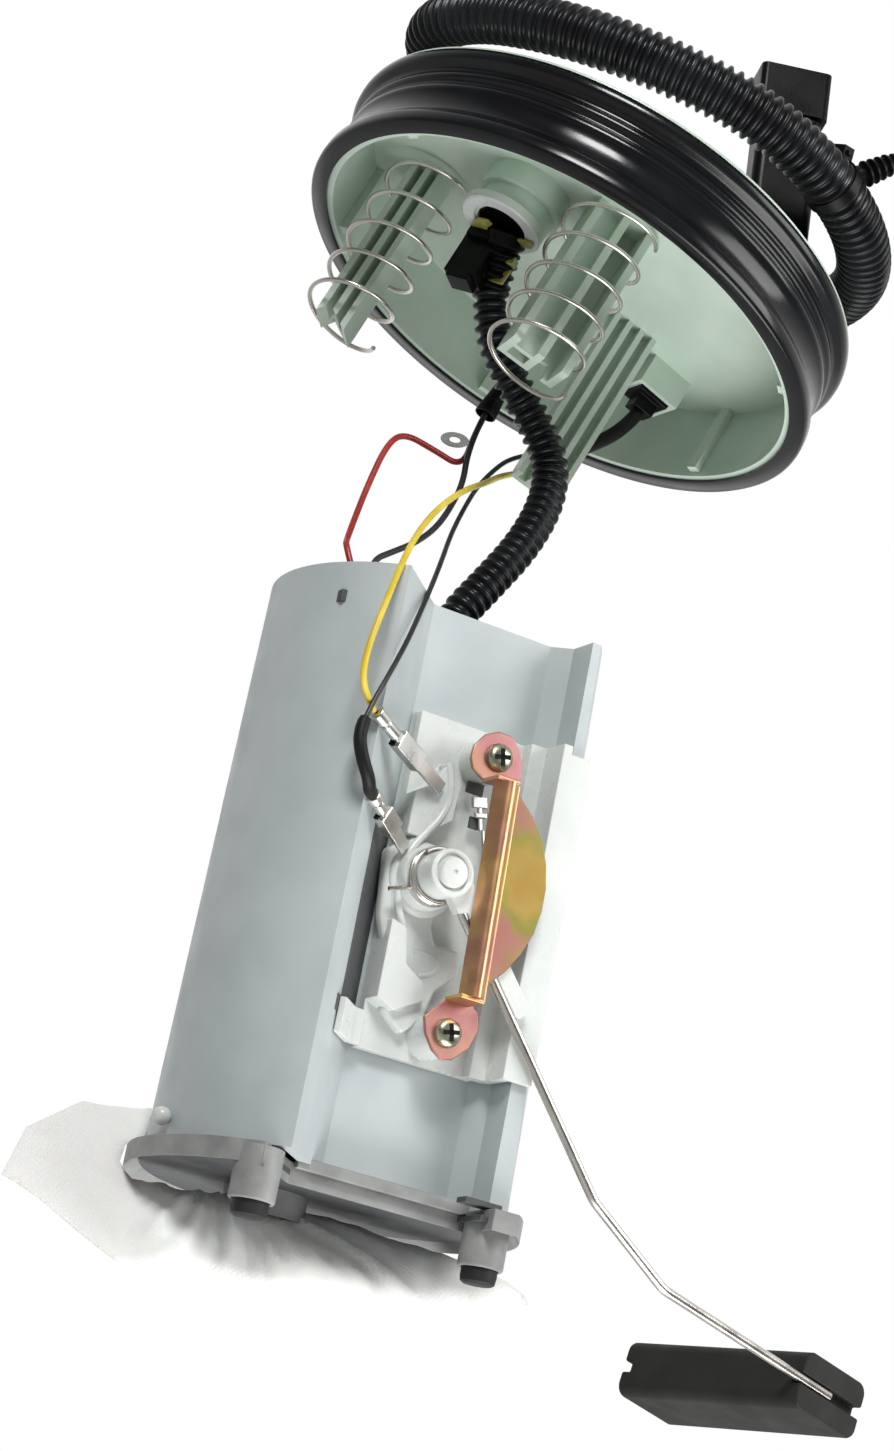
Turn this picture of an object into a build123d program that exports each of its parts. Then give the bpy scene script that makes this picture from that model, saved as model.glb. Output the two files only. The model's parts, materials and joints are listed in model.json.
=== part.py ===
"""Fuel pump module: a tank flange with sprung guide posts, and a reservoir with pump, level sender and strainer.

Frame: origin at the centre of the flange seal's lower face, +Z along the flange axis, out of the tank.
Millimetres. The reservoir is drawn upright in its own frame and hung below the flange by hang().
"""

import math
import os

from build123d import *

os.makedirs("parts", exist_ok=True)

# ---- flange and seal ----
CAP_RADIUS = 67.2
CAP_THICKNESS = 3.0
LOCK_LAND_WIDTH = 4.4
LAND_GROOVE_WIDTH = 1.2
LAND_GROOVE_DEPTH = 0.8
SKIRT_DEPTH = 20.2
SKIRT_LIFT = 0.8
SKIRT_OUTER_RADIUS = 63.5
SKIRT_WALL = 1.8
SEAL_LIP_RADIUS = 67.6
SEAL_LIP_HEIGHT = 4.5
SEAL_BODY_RADIUS = 65.6
SEAL_GROOVE_DEPTH = 0.9
WALL_RIB_COUNT = 6
WALL_RIB_PHASE = 36.5
WALL_RIB_WIDTH = 3.0
WALL_RIB_DEPTH = 2.2

# ---- guide posts, springs and rail ----
LEFT_POST_X, LEFT_POST_Y = -43.0, 11.0
LEFT_POST_WIDTH = 9.0
LEFT_POST_LENGTH = 54.0
CENTER_POST_X, CENTER_POST_Y = 1.6, -17.5
CENTER_POST_WIDTH = 16.0
CENTER_POST_LENGTH = 43.0
POST_WEB = 1.8
RAIL_X, RAIL_Y = 17.4, 23.8
RAIL_WIDTH = 12.5
RAIL_DEPTH = 5.2
RAIL_LENGTH = 51.0
SPRING_WIRE = 0.9
LEFT_SPRING_RADIUS = 10.2
LEFT_SPRING_PITCH = 9.4
CENTER_SPRING_RADIUS = 11.4
CENTER_SPRING_PITCH = 9.0
SPRING_TURNS = 5.0

# ---- fuel connector and electrical ports in the flange ----
COLLAR_X, COLLAR_Y = -20.5, -9.0
COLLAR_RADIUS = 10.8
COLLAR_STEP_RADIUS = 9.3
COLLAR_BORE_RADIUS = 7.6
COLLAR_HEIGHT = 6.0
COLLAR_STEP_HEIGHT = 6.5
CONNECTOR_FIT = 0.05
CONNECTOR_REACH = 19.0
PORT_X, PORT_Y = 29.5, 38.0
PORT_SIZE = 12.0
PORT_WALL = 1.4
PORT_HEIGHT = 8.0
LEAD_PORT_X, LEAD_PORT_Y = 3.0, 27.0
LEAD_PORT_RADIUS = 5.0

# ---- top side ----
OUTLET_HOSE_DIAMETER = 13.0
TOP_ELBOW_HEIGHT = 17.0
TOP_ELBOW_RADIUS = 8.0
OUTLET_CLIP_AT = 0.594
COUPLER_BORE_RADIUS = 4.0
TOWER_X, TOWER_Y = 43.0, -38.8
TOWER_LEAN = 22.0
TOWER_STEM_LENGTH = 36.0
TOWER_WIDTH = 17.0
TOWER_DEPTH = 12.0
TOWER_HEIGHT = 12.0

# ---- reservoir ----
RESERVOIR_HEIGHT = 134.0
RESERVOIR_TOP_RADIUS = 39.2
RESERVOIR_BASE_RADIUS = 41.2
RESERVOIR_WALL = 2.6
PANEL_SETBACK = 12.0
PANEL_LEFT_X = -7.5
RIB_INNER_X = 28.4
RIB_FRONT_Y = -24.6
RECESS_FILLET = 4.0
BASE_THICKNESS = 5.0
BASE_OVERHANG = 3.8
BOSS_RADIUS = 5.8
BOSS_HEIGHT = 9.0
FOOT_RADIUS = 4.4
FOOT_HEIGHT = 4.5
FOOT_SPOTS = ((-30.0, -27.0), (31.0, -21.0), (0.0, 38.0))
INLET_RADIUS = 9.0
INLET_NECK_LENGTH = 8.0

# ---- how the reservoir hangs from the flange ----
HANG_TILT = 19.84
HANG_BEARING = -80.4
HANG_YAW = 20.41
PIVOT = (11.9, 33.9, -25.0)
ALIGNED_X, ALIGNED_Y, ALIGNED_Z = -4.0, -0.2, -212.8

# ---- pump ----
PUMP_RADIUS = 18.0
PUMP_CAN_WALL = 1.2
PUMP_X, PUMP_Y = -7.6, 13.1
PUMP_FLOOR_GAP = 3.0
PUMP_CAN_LENGTH = 52.0
PUMP_CAP_HEIGHT = 9.0
PUMP_INLET_HEIGHT = 8.0
SHAFT_RADIUS = 2.0
SHAFT_CLEARANCE = 0.05
ARMATURE_RADIUS = 12.0
ARMATURE_LENGTH = 26.0
IMPELLER_RADIUS = 15.5
IMPELLER_THICKNESS = 3.6
MAGNET_THICKNESS = 3.4
ISOLATOR_THICKNESS = 2.2

# ---- level sender ----
SENDER_GAP = 0.3
SENDER_PLATE_THICKNESS = 2.6
SENDER_LEFT_X, SENDER_RIGHT_X = -6.6, 27.4
SENDER_LIP = 1.4
SENDER_BOTTOM_Z, SENDER_TOP_Z = 29.0, 108.0
HUB_X, HUB_Z = 0.0, 69.0
HUB_RADIUS = 5.4
HUB_PIN_RADIUS = 2.5
HUB_CLEARANCE = 0.05
HUB_TOP = 31.0
LEVER_TOP = 29.4
EAR_X = 10.0
EAR_TOP_Z, EAR_BOTTOM_Z = 100.0, 35.5
BRACKET_PLANE = 24.0
SHIELD_PLANE = 30.0
SHIELD_RADIUS = 25.5
SHIELD_SAGITTA = 12.4
BRACKET_SHEET = 1.0
BRACKET_BAR_WIDTH = 6.4
BRACKET_BAR_DEPTH = 9.0
SCREW_HEAD_RADIUS = 3.1
SCREW_SHANK_RADIUS = 1.5
ARM_PLANE = 28.0
LEVER_THICKNESS = 2.9
LEVER_LENGTH = 36.0
LEVER_WIDTH = 7.0
ARM_WIRE_RADIUS = 1.15
ARM_BENDS = ((52.6, 7.9), (74.4, -7.0))
ARM_END_REACH = 63.0
ARM_END_YAW = 15.0
ARM_END_DIP = 10.0
FLOAT_LENGTH = 57.0
FLOAT_WIDTH = 23.0
FLOAT_HEIGHT = 14.0

# ---- wires and hoses ----
PUMP_HOSE_DIAMETER = 9.0
THICK_WIRE_DIAMETER = 1.5
YELLOW_WIRE_DIAMETER = 1.5
THIN_WIRE_DIAMETER = 1.2
PUMP_LEAD_DIAMETER = 3.6
SENDER_LEAD_DIAMETER = 3.6
SLEEVE_DIAMETER = 3.0
BOOT_LENGTH = 9.2

FLOOR_Z = SKIRT_LIFT + SKIRT_DEPTH
CAP_TOP_Z = FLOOR_Z + CAP_THICKNESS
SWING_AXIS = Axis(PIVOT, (math.cos(math.radians(HANG_BEARING)), math.sin(math.radians(HANG_BEARING)), 0))


def hang(shape):
    """Carries a shape from the reservoir's own upright frame to where the reservoir hangs."""
    aligned = Location((ALIGNED_X, ALIGNED_Y, ALIGNED_Z), (0, 0, HANG_YAW))
    return shape.moved(aligned).rotate(SWING_AXIS, HANG_TILT)


def save(name, shape):
    """Writes one node."""
    export_step(shape, f"parts/{name}.step")


def cylinder(x, y, z, radius, height):
    """An upright cylinder standing on z."""
    return Pos(x, y, z) * Cylinder(radius, height, align=(Align.CENTER, Align.CENTER, Align.MIN))


def block(x0, x1, y0, y1, z0, z1):
    """A box between two corners."""
    return Pos((x0 + x1) / 2, (y0 + y1) / 2, (z0 + z1) / 2) * Box(x1 - x0, y1 - y0, z1 - z0)


def revolved(profile):
    """A full turn about Z of a closed outline of (radius, z) points."""
    return revolve(Plane.XZ * make_face(Polyline(*profile, close=True)), Axis.Z)


def extruded(outline, z0, z1):
    """An upright prism from a closed outline of (x, y) points."""
    face = make_face(Polyline(*outline, close=True))
    return Pos(0, 0, z0) * extrude(face, z1 - z0)


def panel_prism(outline, outer, inner):
    """A prism on the reservoir's panel: (x, z) points, between two distances out from the axis plane."""
    face = make_face(Polyline(*outline, close=True))
    return Pos(0, -inner, 0) * (Rot(90, 0, 0) * extrude(face, outer - inner))


def panel_disc(x, z, radius, outer, inner):
    """A disc standing out from the panel between two distances."""
    return Pos(x, -inner, z) * (Rot(90, 0, 0) * Cylinder(radius, outer - inner,
                                                        align=(Align.CENTER, Align.CENTER, Align.MIN)))


def nozzle(points, radius, length):
    """A short stub that runs back from a route's first point, along its first run."""
    start = Vector(*points[0])
    back = start - Vector(*points[1])
    return Plane(origin=start, z_dir=back) * Cylinder(radius, length, align=(Align.CENTER, Align.CENTER, Align.MIN))


def bend_radii(points):
    """For each inner point of a route, 0.45 of the shorter run over the tangent of half the turn."""
    radii = []
    for before, here, after in zip(points, points[1:], points[2:]):
        run_in = Vector(*here) - Vector(*before)
        run_out = Vector(*after) - Vector(*here)
        half_turn = math.radians(run_in.get_angle(run_out)) / 2
        radii.append(0.45 * min(run_in.length, run_out.length) / math.tan(half_turn))
    return radii


def tube(name, points, diameter, widest_bend=400.0):
    """A round cord along straight runs joined by tangent arcs."""
    radii = [min(radius, widest_bend) for radius in bend_radii(points)]
    print(name, "radii", [round(radius, 1) for radius in radii])
    path = FilletPolyline(*points, radius=radii)
    print(name, "length", round(path.length, 1))
    start = Plane(path @ 0, z_dir=path % 0)
    return sweep(start * Circle(diameter / 2), path=path)


def comb(width, depth, web, teeth, tooth_width, length):
    """A guide post's section: a web across X with teeth along -Y, hanging from z = 0 down."""
    post = block(-width / 2, width / 2, 0, web, -length, 0)
    for index in range(teeth):
        x = -width / 2 + tooth_width / 2 + index * (width - tooth_width) / (teeth - 1)
        post += block(x - tooth_width / 2, x + tooth_width / 2, web - depth, web, -length, 0)
    return post


# ---------------------------------------------------------------- flange
def flange_posts():
    """The two sprung guide posts and the long grooved rail under the cap."""
    left = comb(LEFT_POST_WIDTH, 8.0, POST_WEB, 3, 1.6, LEFT_POST_LENGTH)
    slant = Pos(-LEFT_POST_WIDTH / 2, 0, -LEFT_POST_LENGTH) * Rot(0, 38, 0) * Box(24, 40, 9)
    left = Pos(LEFT_POST_X, LEFT_POST_Y + 3, FLOOR_Z) * (Rot(0, 0, -20) * (left - Pos(9, 0, -2) * slant))
    center = comb(CENTER_POST_WIDTH, 11.0, POST_WEB, 3, 2.0, CENTER_POST_LENGTH)
    center += block(-CENTER_POST_WIDTH / 2, 0.5, -6.0, -4.2, -CENTER_POST_LENGTH, 0)
    center -= block(1.0, 4.6, -20, 20, -CENTER_POST_LENGTH - 1, -CENTER_POST_LENGTH + 3.6)
    center = Pos(CENTER_POST_X, CENTER_POST_Y + 4.2, FLOOR_Z) * (Rot(0, 0, 12) * center)
    rail = comb(RAIL_WIDTH, RAIL_DEPTH, POST_WEB, 4, 1.5, RAIL_LENGTH)
    rail = Pos(RAIL_X, RAIL_Y + 2, FLOOR_Z) * (Rot(0, 0, 14) * rail)
    return left + center + rail


def flange_cap():
    """The moulded cap: disc, skirt, wall ribs, posts, connector collar and port collar."""
    rim = CAP_RADIUS
    inner = SKIRT_OUTER_RADIUS - SKIRT_WALL
    land = rim - LOCK_LAND_WIDTH
    groove_z = CAP_TOP_Z - LAND_GROOVE_DEPTH
    body = revolved(((0, FLOOR_Z), (inner, FLOOR_Z), (inner, SKIRT_LIFT), (SKIRT_OUTER_RADIUS, SKIRT_LIFT),
                     (SKIRT_OUTER_RADIUS, FLOOR_Z), (rim - 0.6, FLOOR_Z), (rim, FLOOR_Z + 0.8),
                     (rim, CAP_TOP_Z - 0.6), (rim - 0.8, CAP_TOP_Z), (land, CAP_TOP_Z), (land, groove_z),
                     (land - LAND_GROOVE_WIDTH, groove_z), (land - LAND_GROOVE_WIDTH, CAP_TOP_Z), (0, CAP_TOP_Z)))
    for index in range(WALL_RIB_COUNT):
        angle = WALL_RIB_PHASE + index * 360 / WALL_RIB_COUNT
        rib = block(inner - WALL_RIB_DEPTH, inner + 0.5, -WALL_RIB_WIDTH / 2, WALL_RIB_WIDTH / 2,
                    SKIRT_LIFT + 1.2, FLOOR_Z)
        body += Rot(0, 0, angle) * rib
    body += flange_posts()
    body += cylinder(COLLAR_X, COLLAR_Y, FLOOR_Z - COLLAR_HEIGHT, COLLAR_RADIUS, COLLAR_HEIGHT)
    low = FLOOR_Z - COLLAR_HEIGHT - COLLAR_STEP_HEIGHT
    body += cylinder(COLLAR_X, COLLAR_Y, low, COLLAR_STEP_RADIUS, COLLAR_STEP_HEIGHT)
    body += Pos(PORT_X, PORT_Y, FLOOR_Z - PORT_HEIGHT / 2) * Rot(0, 0, 20) * Box(PORT_SIZE, PORT_SIZE, PORT_HEIGHT)
    body += cylinder(LEAD_PORT_X, LEAD_PORT_Y, FLOOR_Z - 4, LEAD_PORT_RADIUS, 4)
    body -= cylinder(COLLAR_X, COLLAR_Y, low - 1, COLLAR_BORE_RADIUS, CAP_TOP_Z - low + 2)
    inside = PORT_SIZE - 2 * PORT_WALL
    body -= Pos(PORT_X, PORT_Y, FLOOR_Z - PORT_HEIGHT / 2 - 1) * Rot(0, 0, 20) * Box(inside, inside, PORT_HEIGHT)
    return body


def seal_ring():
    """The tank seal: a wide lower lip, a tall grooved body around the skirt, and a bead under the cap's edge."""
    hole = SKIRT_OUTER_RADIUS
    lip, body, groove = SEAL_LIP_RADIUS, SEAL_BODY_RADIUS, SEAL_BODY_RADIUS - SEAL_GROOVE_DEPTH
    top = FLOOR_Z
    return revolved(((hole - SKIRT_WALL + 0.2, 0), (lip, 0), (lip, SEAL_LIP_HEIGHT - 1),
                     (lip - 1.0, SEAL_LIP_HEIGHT), (groove, SEAL_LIP_HEIGHT + 1.4), (groove, 11.6),
                     (body, 12.2), (body, 13.6), (groove, 14.2), (groove, 15.6), (body, 16.2),
                     (body, 17.4), (groove, 18.0), (groove, 19.0), (body + 0.4, 19.8), (body + 0.4, top),
                     (hole, top), (hole, SKIRT_LIFT), (hole - SKIRT_WALL + 0.2, SKIRT_LIFT)))


def guide_spring(radius, pitch):
    """A guide post's coil, hanging from the cap's underside, coil top at z = 0."""
    height = pitch * SPRING_TURNS
    path = Pos(0, 0, -height) * Helix(pitch=pitch, height=height, radius=radius)
    start = Plane(path @ 0, z_dir=path % 0)
    return sweep(start * Circle(SPRING_WIRE / 2), path=path)


def quick_connect():
    """The fuel connector: a body held in the collar, a latch box on its side and a nozzle for the pump hose."""
    top = FLOOR_Z - 1
    low = top - CONNECTOR_REACH
    body = cylinder(COLLAR_X, COLLAR_Y, low, COLLAR_BORE_RADIUS - CONNECTOR_FIT, CONNECTOR_REACH)
    body += block(COLLAR_X - 11.5, COLLAR_X - 1, COLLAR_Y + 1, COLLAR_Y + 11, low - 3.5, low + 3.4)
    body += block(COLLAR_X - 5.5, COLLAR_X + 8, COLLAR_Y - 3, COLLAR_Y + 14, low, low + 3.4)
    body -= block(COLLAR_X - 9.8, COLLAR_X - 2.6, COLLAR_Y + 2.6, COLLAR_Y + 9.4, low - 4.5, low - 1.0)
    return body + nozzle(HOSE_UPPER_POINTS, PUMP_HOSE_DIAMETER / 2 + 0.6, 5)


def retainer_clip():
    """The amber spring clip that locks the connector in its collar."""
    z = FLOOR_Z - COLLAR_HEIGHT - COLLAR_STEP_HEIGHT - 3.6
    outer = cylinder(COLLAR_X, COLLAR_Y, z, COLLAR_BORE_RADIUS + 2.4, 3.0)
    ring = outer - cylinder(COLLAR_X, COLLAR_Y, z - 1, COLLAR_BORE_RADIUS + 0.3, 5)
    ring -= block(COLLAR_X - 4, COLLAR_X + 4, COLLAR_Y, COLLAR_Y + 20, z - 1, z + 4)
    for side in (-1, 1):
        x = COLLAR_X + side * 5.6
        ring += block(x - 1.2, x + 1.2, COLLAR_Y - 11.5, COLLAR_Y - 7.9, z, z + 3.0)
    return ring


def port_plug():
    """The black plug in the sender's port, with the exit for the two sender wires."""
    inside = PORT_SIZE - 2 * PORT_WALL - 0.2
    plug = Pos(PORT_X, PORT_Y, FLOOR_Z - PORT_HEIGHT / 2 - 1.2) * Rot(0, 0, 20) * Box(inside, inside, PORT_HEIGHT - 0.4)
    low = FLOOR_Z - PORT_HEIGHT - 1
    plug += Pos(PORT_X, PORT_Y, low - 1.5) * Rot(0, 0, 20) * Box(inside - 3, inside - 4, 4)
    return plug


# ---------------------------------------------------------------- top side
def top_elbow():
    """The black outlet elbow on top of the cap, over the fuel connector."""
    z = CAP_TOP_Z
    elbow = cylinder(COLLAR_X, COLLAR_Y, z - CAP_THICKNESS + 0.2, COLLAR_BORE_RADIUS - 0.1, CAP_THICKNESS)
    elbow += cylinder(COLLAR_X, COLLAR_Y, z, COLLAR_RADIUS, 3)
    elbow += cylinder(COLLAR_X, COLLAR_Y, z, TOP_ELBOW_RADIUS, TOP_ELBOW_HEIGHT)
    return elbow + nozzle(OUTLET_HOSE_POINTS, OUTLET_HOSE_DIAMETER / 2 - 1, 9)


def connector_tower():
    """The electrical connector: a base pad, a leaning stem and an open housing with four pins."""
    x0, x1 = -TOWER_WIDTH + 2.4, 2.4
    stem = block(x0 + 0.9, x1 - 0.9, -TOWER_DEPTH / 2 + 0.8, TOWER_DEPTH / 2 - 0.8, -6, TOWER_STEM_LENGTH)
    stem = fillet(stem.edges().filter_by(Axis.Z), 2.4)
    z0 = TOWER_STEM_LENGTH
    housing = block(x0, x1, -TOWER_DEPTH / 2, TOWER_DEPTH / 2, z0, z0 + TOWER_HEIGHT)
    housing = fillet(housing.edges().filter_by(Axis.Z), 1.5)
    housing -= block(x0 + 1.5, x1 - 1.5, -TOWER_DEPTH / 2 + 1.5, TOWER_DEPTH / 2 - 1.5, z0 + 3, z0 + TOWER_HEIGHT + 1)
    for index in range(4):
        x = x0 + 3.8 + index * (TOWER_WIDTH - 7.6) / 3
        housing += block(x - 0.4, x + 0.4, -0.4, 0.4, z0 + 2.5, z0 + TOWER_HEIGHT - 1.5)
    tower = Pos(TOWER_X, TOWER_Y, CAP_TOP_Z) * Rot(0, -TOWER_LEAN, 0) * (stem + housing)
    pad = block(TOWER_X - 19, TOWER_X + 1.5, TOWER_Y - 5.2, TOWER_Y + 7, CAP_TOP_Z, CAP_TOP_Z + 2)
    below = block(-200, 200, -200, 200, -50, CAP_TOP_Z)
    return (tower + pad) - below


# ---------------------------------------------------------------- routes, in the flange's frame
HOSE_JOINT = (4.8, 8.1, -20.1)
HOSE_UPPER_POINTS = ((-15.8, 2.0, -2.5), (-10.4, 4.4, -11.0), (-1.0, 7.0, -17.0), HOSE_JOINT)
HOSE_LOWER_POINTS = (HOSE_JOINT, (10.6, 9.2, -23.2), (18.6, 9.4, -29.6), (22.4, 8.4, -39.6), (22.8, 6.0, -53.0),
                     (20.4, 3.4, -67.6), (17.8, 0.9, -81.2), (20.0, 2.2, -93.4), (23.6, 6.6, -106.0),
                     (26.6, 10.2, -118.0), (29.1, 11.1, -130.6))
RED_POINTS = ((-1.8, 20.2, -23.4), (-1.5, 20.0, -28.6), (0.5, 15.0, -40.1), (-7.3, 10.0, -42.2),
              (-15.2, 4.0, -45.2), (-17.0, 1.0, -51.3), (-15.3, -2.5, -64.9), (-13.4, -6.0, -75.7),
              (-12.2, -10.0, -82.3), (-11.6, -13.6, -84.6), (-5.0, -13.9, -91.6), (0.5, -8.4, -102.6),
              (7.0, 0.6, -114.1), (13.3, 7.4, -126.9), (16.2, 8.8, -136.0))
BLACK_POINTS = ((-1.8, 17.4, -23.4), (-1.6, 16.8, -28.0), (-0.1, 14.4, -36.8), (2.6, 12.0, -44.5),
                (3.4, 9.5, -52.2), (3.2, 6.0, -60.9), (1.1, 0.5, -69.3), (-2.1, -5.0, -76.6),
                (-4.9, -9.5, -82.8), (-1.5, -9.5, -91.7), (2.8, -2.8, -102.5), (6.7, 6.3, -114.4),
                (10.6, 13.7, -126.4), (13.8, 15.4, -136.4))
YELLOW_POINTS = ((11.7, 33.0, -25.9), (9.4, 28.5, -29.9), (7.1, 20.5, -37.7), (3.7, 7.0, -48.8),
                 (1.6, -8.5, -62.6), (1.1, -22.0, -75.6), (2.0, -34.5, -88.6), (3.8, -41.5, -101.3),
                 (5.3, -43.6, -110.9), (6.8, -44.0, -118.1), (8.9, -44.0, -122.7), (12.6, -42.6, -125.8),
                 (16.3, -37.0, -123.1), (18.8, -33.0, -119.8))
SENDER_POINTS = ((11.1, 36.0, -19.1), (8.6, 33.5, -22.9), (6.9, 30.0, -29.0), (5.7, 23.5, -38.5),
                 (6.0, 15.5, -48.6), (6.9, 6.0, -60.2), (8.8, -7.0, -73.2), (10.5, -20.2, -87.1),
                 (12.3, -31.0, -102.5), (13.0, -36.4, -114.6), (13.2, -38.0, -123.1), (13.7, -38.6, -127.4))
SLEEVE_POINTS = ((13.7, -38.6, -127.4), (14.2, -39.2, -131.5), (17.7, -38.9, -135.8),
                 (21.5, -36.4, -138.4), (24.1, -32.4, -137.7), (24.9, -30.1, -137.0))
PUMP_LEAD_POINTS = ((3.0, 27.0, 16.6), (2.8, 26.6, 9.6), (1.0, 23.6, 1.4), (-1.7, 19.2, -6.6),
                    (-1.8, 18.8, -14.0))
SENDER_LEAD_POINTS = ((29.5, 38.0, 8.2), (28.6, 38.0, 2.4), (24.4, 37.8, -5.6), (18.6, 36.4, -14.0),
                      (14.6, 35.0, -19.6))
OUTLET_HOSE_POINTS = ((-33.6, -9.0, 35.0), (-45.0, -10.4, 34.0), (-54.6, -19.6, 33.4), (-55.0, -33.0, 33.0),
                      (-46.0, -45.6, 33.0), (-33.6, -56.4, 33.0), (-19.4, -64.0, 33.0), (-3.6, -68.0, 33.0),
                      (13.0, -68.6, 33.0), (28.6, -65.6, 33.0), (43.0, -57.6, 33.0), (54.0, -45.6, 33.0),
                      (60.6, -30.6, 33.0), (62.0, -15.0, 33.0), (57.0, 0.0, 33.0), (46.4, 11.6, 33.0),
                      (32.0, 18.0, 32.4), (17.0, 19.6, 32.0))


# ---------------------------------------------------------------- reservoir, in its own frame
def recess_outline(wall):
    """The half-open recess in the round shell, shifted into the solid by wall: (x, y) points, left to right."""
    y = -PANEL_SETBACK + wall
    slant = wall * math.tan(math.radians(22.5))
    left_start = (PANEL_LEFT_X - slant, y)
    reach = 60.0
    left_end = (left_start[0] - reach * 0.667, left_start[1] - reach * 0.745)
    right_x = RIB_INNER_X + wall
    return [left_end, left_start, (right_x - RECESS_FILLET, y), (right_x, y - RECESS_FILLET), (right_x, -reach)]


def shell_face(radius, wall):
    """The shell's section at one height, or its cavity when wall is above zero."""
    face = Circle(radius - wall)
    notch = recess_outline(wall)
    notch_face = make_face(Polyline(*notch, close=True))
    face = face - notch_face
    if wall == 0:
        face = face - Pos(RIB_INNER_X + 20, RIB_FRONT_Y - 20) * Rectangle(40, 40)
    return face


def lofted(wall, z0, z1):
    """The tapering solid between the base section and the top section."""
    low = Pos(0, 0, z0) * shell_face(RESERVOIR_BASE_RADIUS, wall)
    high = Pos(0, 0, z1) * shell_face(RESERVOIR_TOP_RADIUS, wall)
    return loft([low.face(), high.face()], ruled=True)


def reservoir_shell():
    """The tapering shell: round at the back, with a flat panel set back between a slanted wall and a rib."""
    shell = lofted(0, 0, RESERVOIR_HEIGHT) - lofted(RESERVOIR_WALL, -0.01, RESERVOIR_HEIGHT + 0.01)
    return shell


def base_plate():
    """The reservoir's foot: a plate that follows the recess, three bosses and the strainer's inlet collar."""
    radius = RESERVOIR_BASE_RADIUS + BASE_OVERHANG
    face = Circle(radius) - make_face(Polyline((-46, -48), (-17.5, -17.0), (27.4, -17.0), (27.4, -60),
                                               (-46, -60), close=True))
    face = face - Pos(48, -54.5) * Rectangle(40, 50)
    plate = Pos(0, 0, -BASE_THICKNESS) * extrude(face, BASE_THICKNESS)
    for x, y in FOOT_SPOTS:
        plate += cylinder(x, y, -BASE_THICKNESS - BOSS_HEIGHT, BOSS_RADIUS, BOSS_HEIGHT + BASE_THICKNESS)
    plate += cylinder(PUMP_X, PUMP_Y, -BASE_THICKNESS, INLET_RADIUS + 2, BASE_THICKNESS + PUMP_FLOOR_GAP)
    plate -= cylinder(PUMP_X, PUMP_Y, -BASE_THICKNESS - 1, INLET_RADIUS - 2, 20)
    return plate


def rubber_foot(x, y):
    """One rubber foot under its boss."""
    return cylinder(x, y, -BASE_THICKNESS - BOSS_HEIGHT - FOOT_HEIGHT, FOOT_RADIUS, FOOT_HEIGHT)


def strainer_sock():
    """The woven sock: a flat pillow under the base with a welded flap at its left end."""
    body = ((-46, 8), (-50, -9), (-29, -7), (5, -3), (38, 2), (62, 8), (40, 9), (0, 9))
    flap = ((-47, 33), (-73, 6), (-50, -9), (-44, -2), (-47, 9), (-48, 14), (-42, 26), (-34, 36))
    lean = Plane(origin=(0, 0, -20), x_dir=(1, 0, 0), z_dir=(0, -0.669, 0.743))
    stretch = 1 / 0.743
    sock = lean * Pos(0, 0, -3.5) * extrude(make_face(Polyline(*[(x, y * stretch) for x, y in body], close=True)), 7)
    sock += lean * Pos(0, 0, -1.2) * extrude(make_face(Polyline(*[(x, y * stretch) for x, y in flap], close=True)), 2.4)
    return sock


def strainer_neck():
    """The strainer's rigid neck, pushed into the pump's inlet through the base."""
    neck = cylinder(PUMP_X, PUMP_Y, -BASE_THICKNESS - 4.0, INLET_RADIUS - 2.1, BASE_THICKNESS + 4.0)
    neck -= cylinder(PUMP_X, PUMP_Y, -BASE_THICKNESS - 5, INLET_RADIUS - 3.6, 30)
    return neck


# ---------------------------------------------------------------- pump, in the reservoir's frame
PUMP_BASE_Z = PUMP_FLOOR_GAP
CAN_Z = PUMP_BASE_Z + PUMP_INLET_HEIGHT
CAN_TOP_Z = CAN_Z + PUMP_CAN_LENGTH
PUMP_TOP_Z = CAN_TOP_Z + PUMP_CAP_HEIGHT


def pump_can():
    """The rolled steel can around the motor."""
    can = cylinder(PUMP_X, PUMP_Y, CAN_Z, PUMP_RADIUS, PUMP_CAN_LENGTH)
    return can - cylinder(PUMP_X, PUMP_Y, CAN_Z - 1, PUMP_RADIUS - PUMP_CAN_WALL, PUMP_CAN_LENGTH + 2)


def pump_inlet():
    """The inlet casting with the impeller's chamber and the lower shaft bush."""
    body = cylinder(PUMP_X, PUMP_Y, PUMP_BASE_Z, PUMP_RADIUS - 1, PUMP_INLET_HEIGHT)
    body += cylinder(PUMP_X, PUMP_Y, CAN_Z, PUMP_RADIUS - PUMP_CAN_WALL, 7)
    body -= cylinder(PUMP_X, PUMP_Y, CAN_Z + 1.2, IMPELLER_RADIUS + 0.3, IMPELLER_THICKNESS + 0.8)
    body -= cylinder(PUMP_X, PUMP_Y, CAN_Z - 4, SHAFT_RADIUS + SHAFT_CLEARANCE, 30)
    body -= cylinder(PUMP_X + 9, PUMP_Y, PUMP_BASE_Z - 1, 3, 30)
    return body


def pump_outlet():
    """The outlet cap with its barb, two terminals and the upper shaft bush."""
    top = CAN_TOP_Z
    body = cylinder(PUMP_X, PUMP_Y, top - 5, PUMP_RADIUS - PUMP_CAN_WALL, 5)
    body += cylinder(PUMP_X, PUMP_Y, top, PUMP_RADIUS - 0.6, PUMP_CAP_HEIGHT)
    body += cylinder(PUMP_X + 7, PUMP_Y - 7.4, PUMP_TOP_Z, PUMP_HOSE_DIAMETER / 2 - 1.2, 11)
    body -= cylinder(PUMP_X, PUMP_Y, top - 6, SHAFT_RADIUS + SHAFT_CLEARANCE, 7)
    return body


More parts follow.
